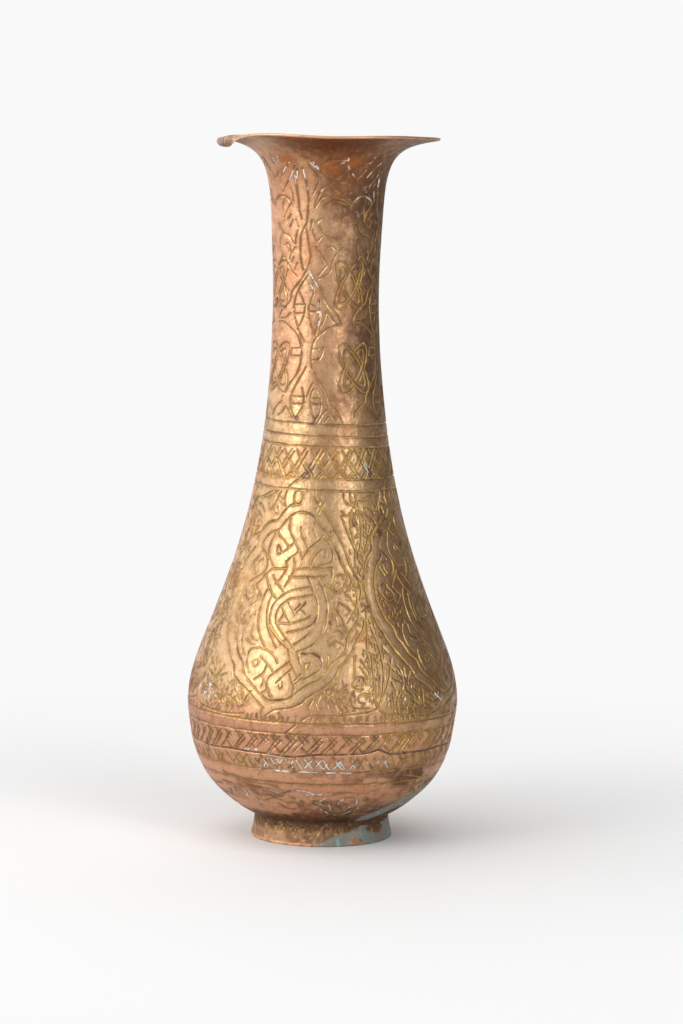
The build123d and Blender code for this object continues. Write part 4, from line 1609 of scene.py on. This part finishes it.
def aged_brass(name, golden, copper, grain, roughness):
    """Old brass: mottled, coppery where worn, tarnished round the cuts and bright inside them, with painted
    shade and painted highlights from the marks.
    """
    shader = Shader(name)
    coarse, middle, fine = shader.noise(11.0), shader.noise(3.0, 4.0), shader.noise(0.7, 3.0)
    mottle = shader.blend(0.5, coarse, middle)

    # Metal, tarnish and painted shade, and mottling
    warm = shader.math("ADD", shader.mark("warm"), shader.scaled(middle, 0.9, -0.45), clamp=True)
    colour = shader.mix(warm, golden, copper)
    dark = shader.math("ADD", shader.mark("dark"), shader.scaled(mottle, 1.7, -0.85))
    dark = shader.step(dark, 0.0, 1.15)
    colour = shader.mix(dark, colour, BROWN)
    lighter = shader.step(shader.noise(1.7, 3.0), 0.52, 0.7)
    colour = shader.mix(shader.math("MULTIPLY", lighter, 0.32), colour, PALE)
    smudge = shader.step(shader.noise(1.2, 4.0), 0.54, 0.68)
    colour = shader.mix(shader.math("MULTIPLY", smudge, 0.4), colour, BROWN)

    # Grime, cuts, specks, and worn places with a painted highlight
    grime = shader.math("MULTIPLY", shader.mark("near"), shader.step(middle, 0.3, 0.62))
    colour = shader.mix(shader.math("MULTIPLY", grime, 0.68), colour, BROWN)
    colour = shader.mix(shader.math("MULTIPLY", shader.mark("cut"), 0.74), colour, BROWN)
    # Yellow in the cuts, with painted glint towards the shaded right
    colour = shader.mix(shader.math("MULTIPLY", shader.mark("gold"), 0.9), colour, CUT_GOLD)
    specks = shader.step(shader.noise(0.9, 1.5), 0.66, 0.73)
    specks = shader.math("MULTIPLY", specks, shader.step(coarse, 0.42, 0.58))
    colour = shader.mix(shader.math("MULTIPLY", specks, 0.65), colour, BLACK_BROWN)
    colour = shader.mix(shader.math("MULTIPLY", shader.mark("orange"), 0.85), colour, ORANGE)
    # Bright copper where worn, and a painted highlight along the lip's edge
    rubbed = shader.math("MULTIPLY", shader.mark("rubbed"), shader.step(middle, 0.3, 0.6))
    colour = shader.mix(rubbed, colour, BRIGHT_COPPER)

    # Verdigris with its flecks, and chalk
    green = shader.math("ADD", shader.mark("verdigris"), shader.scaled(middle, 0.9, -0.45))
    green = shader.step(green, 0.1, 0.95)
    crust = shader.mix(shader.step(middle, 0.42, 0.6), BLUE_GREY, GREEN)
    crust = shader.mix(shader.math("MULTIPLY", shader.step(coarse, 0.5, 0.62), 0.7), crust, PINK_GREY)
    edge = shader.math("MULTIPLY", green, shader.scaled(green, -4.0, 4.0))
    runs = shader.step(shader.noise(2.4, 3.0, (1, 1, 0.45)), 0.54, 0.68)
    flecks = shader.math("MAXIMUM", shader.math("MULTIPLY", edge, 0.4), runs)
    crust = shader.mix(shader.math("MULTIPLY", flecks, 0.65), crust, TURQUOISE)
    colour = shader.mix(green, colour, crust)
    colour = shader.mix(shader.mark("chalk"), colour, CHALK)
    shader.give(shader.surface.inputs["Base Color"], colour)

    # Polish
    matt = shader.math("MAXIMUM", green, shader.mark("chalk"))
    rough = shader.blend(dark, roughness, roughness + 0.14)
    rough = shader.math("ADD", rough, shader.scaled(shader.step(middle, 0.35, 0.65), 0.1, 0.0))
    rough = shader.blend(matt, rough, CRUST_ROUGHNESS)
    shader.give(shader.surface.inputs["Roughness"], rough)
    shader.surface.inputs["Metallic"].default_value = METALLIC

    # Fine relief
    pits = shader.math("MULTIPLY", fine, grain)
    planished = shader.math("MULTIPLY", shader.noise(4.0, 2.0), 2.2)
    scratches = shader.math("MULTIPLY", shader.step(shader.noise(1.1, 2.0, (1, 1, 0.12)), 0.35, 0.65), 0.15)
    height = shader.math("ADD", shader.math("ADD", pits, planished), scratches)
    height = shader.math("ADD", height, matt)
    shader.give(shader.surface.inputs["Normal"], shader.bump(height, 0.1))
    return shader.material


# ------------------------------------------------------------------------------------------------------
# Studio
# ------------------------------------------------------------------------------------------------------
BACKGROUND = (0.95, 0.95, 0.95)

# Brightness of the room seen from the vase: direction in degrees from the camera's side, right positive
ROOM = (
    (-180, 1.1), (-150, 0.98), (-125, 1.08), (-100, 1.36), (-75, 1.42), (-50, 1.32), (-26, 1.2),
    (-10, 0.84), (4, 0.68), (20, 0.76), (29, 1.75), (46, 1.75), (60, 0.56), (82, 0.25), (122, 0.24),
    (148, 0.7), (180, 1.1),
)

# The middle of the vase, which the softboxes look at
MIDDLE = Vector((0, 0, LIP_TOP / METRE / 2))
# The softboxes: azimuth and elevation in degrees, distance and size in metres, power in watts
SOFTBOXES = {
    "key": (-54, 22, 1.1, 0.5, 3.2),
    "fill": (38, 14, 1.3, 0.22, 2.0),
}
# The camera: lens in millimetres, distance in metres, and how it is turned and tipped, in degrees
LENS = 124.3
CAMERA_DISTANCE = 1.256
LOOK_DOWN = 6.06
CAMERA_YAW = -0.28
CAMERA_ROLL = 0.58

# The room at the horizon, as a share of its brightness overhead, on the left and on the right
HORIZON_LEFT = 1.55
HORIZON_RIGHT = 0.55

FLOOR_SHADE = 0.86
# The floor looks this much darker in reflections than it does to the camera
FLOOR_GLOOM = 0.79


def studio_world():
    """A white room with a broad light front left, a narrow one front right and a dark side on the right."""
    world = bpy.data.worlds.new("studio")
    world.use_nodes = True
    nodes = Nodes(world.node_tree)
    nodes.tree.nodes.clear()
    split = nodes.add("SeparateXYZ", {0: nodes.add("TexCoord").outputs["Generated"]})
    turn = nodes.math("ARCTAN2", split.outputs["X"], nodes.math("MULTIPLY", split.outputs["Y"], -1.0))
    ramp = nodes.add("ValToRGB", {"Fac": nodes.scaled(turn, 0.5 / math.pi, 0.5)})
    ramp.color_ramp.interpolation = "EASE"
    stops = ramp.color_ramp.elements
    brightest = max(level for _, level in ROOM)
    while len(stops) < len(ROOM):
        stops.new(0.5)
    for stop, (degrees, level) in zip(stops, ROOM):
        stop.position = (degrees + 180) / 360
        stop.color = (level / brightest,) * 3 + (1,)
    low = nodes.scaled(nodes.step(split.outputs["Z"], 0.0, 0.55), -1.0, 1.0)
    side = nodes.blend(nodes.step(turn, -0.95, -0.2), 1 - HORIZON_LEFT, 1 - HORIZON_RIGHT)
    strength = nodes.scaled(nodes.math("MULTIPLY", low, side), -brightest, brightest)
    room = nodes.add("Background", {"Strength": strength, "Color": ramp.outputs["Color"]})
    shown = nodes.add("Background", {"Color": BACKGROUND})
    seen = nodes.add("LightPath").outputs["Is Camera Ray"]
    choose = nodes.add("MixShader", {"Fac": seen, 1: room.outputs[0], 2: shown.outputs[0]})
    nodes.add("OutputWorld", {"Surface": choose.outputs[0]})
    bpy.context.scene.world = world


def floor():
    """A pale floor that fades into the background away from the vase."""
    mesh = bpy.data.meshes.new("floor")
    reach = 4.0
    corners = [(-reach, -reach, 0), (reach, -reach, 0), (reach, reach, 0), (-reach, reach, 0)]
    mesh.from_pydata(corners, [], [(0, 1, 2, 3)])
    item = bpy.data.objects.new("floor", mesh)
    bpy.context.scene.collection.objects.link(item)
    shader = Shader("pale_floor")
    seen = shader.add("LightPath").outputs["Is Camera Ray"]
    colour = shader.mix(seen, (FLOOR_SHADE * FLOOR_GLOOM,) * 3, (FLOOR_SHADE,) * 3)
    shader.give(shader.surface.inputs["Base Color"], colour)
    shader.surface.inputs["Roughness"].default_value = 0.9
    shader.surface.inputs["Specular IOR Level"].default_value = 0.1
    far = shader.add("VectorMath", {0: shader.place}, operation="LENGTH").outputs["Value"]
    fade = shader.math("MULTIPLY", shader.step(far, 0.1, 0.4), seen)
    glow = shader.add("Emission", {"Color": BACKGROUND})
    surfaces = {"Fac": fade, 1: shader.surface.outputs[0], 2: glow.outputs[0]}
    choose = shader.add("MixShader", surfaces)
    shader.give(shader.tree.nodes["Material Output"].inputs["Surface"], choose.outputs[0])
    mesh.materials.append(shader.material)


def softbox(name, azimuth, elevation, distance, size, power):
    """A square area light that looks at the middle of the vase and is hidden from the camera."""
    lamp = bpy.data.lights.new(name, "AREA")
    lamp.energy = power
    lamp.size = size
    item = bpy.data.objects.new(name, lamp)
    tilt = math.radians(elevation)
    away = outward(azimuth) * math.cos(tilt) + Vector((0, 0, math.sin(tilt)))
    item.location = MIDDLE + away * distance
    item.rotation_euler = away.to_track_quat("Z", "Y").to_euler()
    item.visible_camera = False
    bpy.context.scene.collection.objects.link(item)


def photographers_camera():
    """A camera level with the lip that looks slightly down, with the small roll and turn of a held one."""
    data = bpy.data.cameras.new("camera")
    data.sensor_width = 36.0
    data.lens = LENS
    item = bpy.data.objects.new("camera", data)
    item.location = (0, -CAMERA_DISTANCE, LIP_TOP / METRE)
    yaw = Quaternion((0, 0, 1), math.radians(CAMERA_YAW))
    pitch = Quaternion((1, 0, 0), math.radians(90 - LOOK_DOWN))
    roll = Quaternion((0, 0, 1), math.radians(CAMERA_ROLL))
    item.rotation_mode = "QUATERNION"
    item.rotation_quaternion = yaw @ pitch @ roll
    bpy.context.scene.collection.objects.link(item)
    bpy.context.scene.camera = item


# ------------------------------------------------------------------------------------------------------
# Assembly
# ------------------------------------------------------------------------------------------------------
def finish_piece(item, node, material):
    """Gives a piece its material, puts it under the root body and hides the imported node it stands for."""
    item.data.materials.append(material)
    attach(item, "root")
    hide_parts(node)


upper = upper_profile()
bowl = bowl_profile()
foot = foot_profile()

brass = aged_brass("engraved_brass", GOLDEN, COPPER, 0.6, 0.33)
foot_metal = aged_brass("foot_brass", FOOT_TAN, FOOT_COPPER, 1.4, 0.5)
hard_solder = aged_brass("hard_solder", HARD_SOLDER, HARD_SOLDER_WARM, 1.2, 0.4)
soft_solder = aged_brass("soft_solder", SOFT_SOLDER, SOFT_SOLDER_WARM, 1.6, 0.5)

body = ring_mesh("upper_body_chased", upper_rings(engraved_upper(upper)), True)
finish_piece(body, "upper_body", brass)
dish = ring_mesh("lower_bowl_chased", bowl_rings(engraved_bowl(bowl), upper), False)
finish_piece(dish, "lower_bowl", brass)
bead = ring_mesh("belly_braze_bead", braze_rings(upper), True)
finish_piece(bead, "belly_braze", hard_solder)
ring = ring_mesh("foot_ring_strip", foot_rings(foot), False)
finish_piece(ring, "foot_ring", foot_metal)
strip_joint = ring_mesh("foot_strip_joint_line", joint_rings(foot), False)
finish_piece(strip_joint, "foot_strip_joint", hard_solder)
fillet = ring_mesh("foot_solder_fillet", solder_rings(foot, bowl), True)
finish_piece(fillet, "foot_solder", soft_solder)

floor()
studio_world()
for name, setting in SOFTBOXES.items():
    softbox(name, *setting)
photographers_camera()
bpy.context.scene.view_settings.view_transform = "Standard"
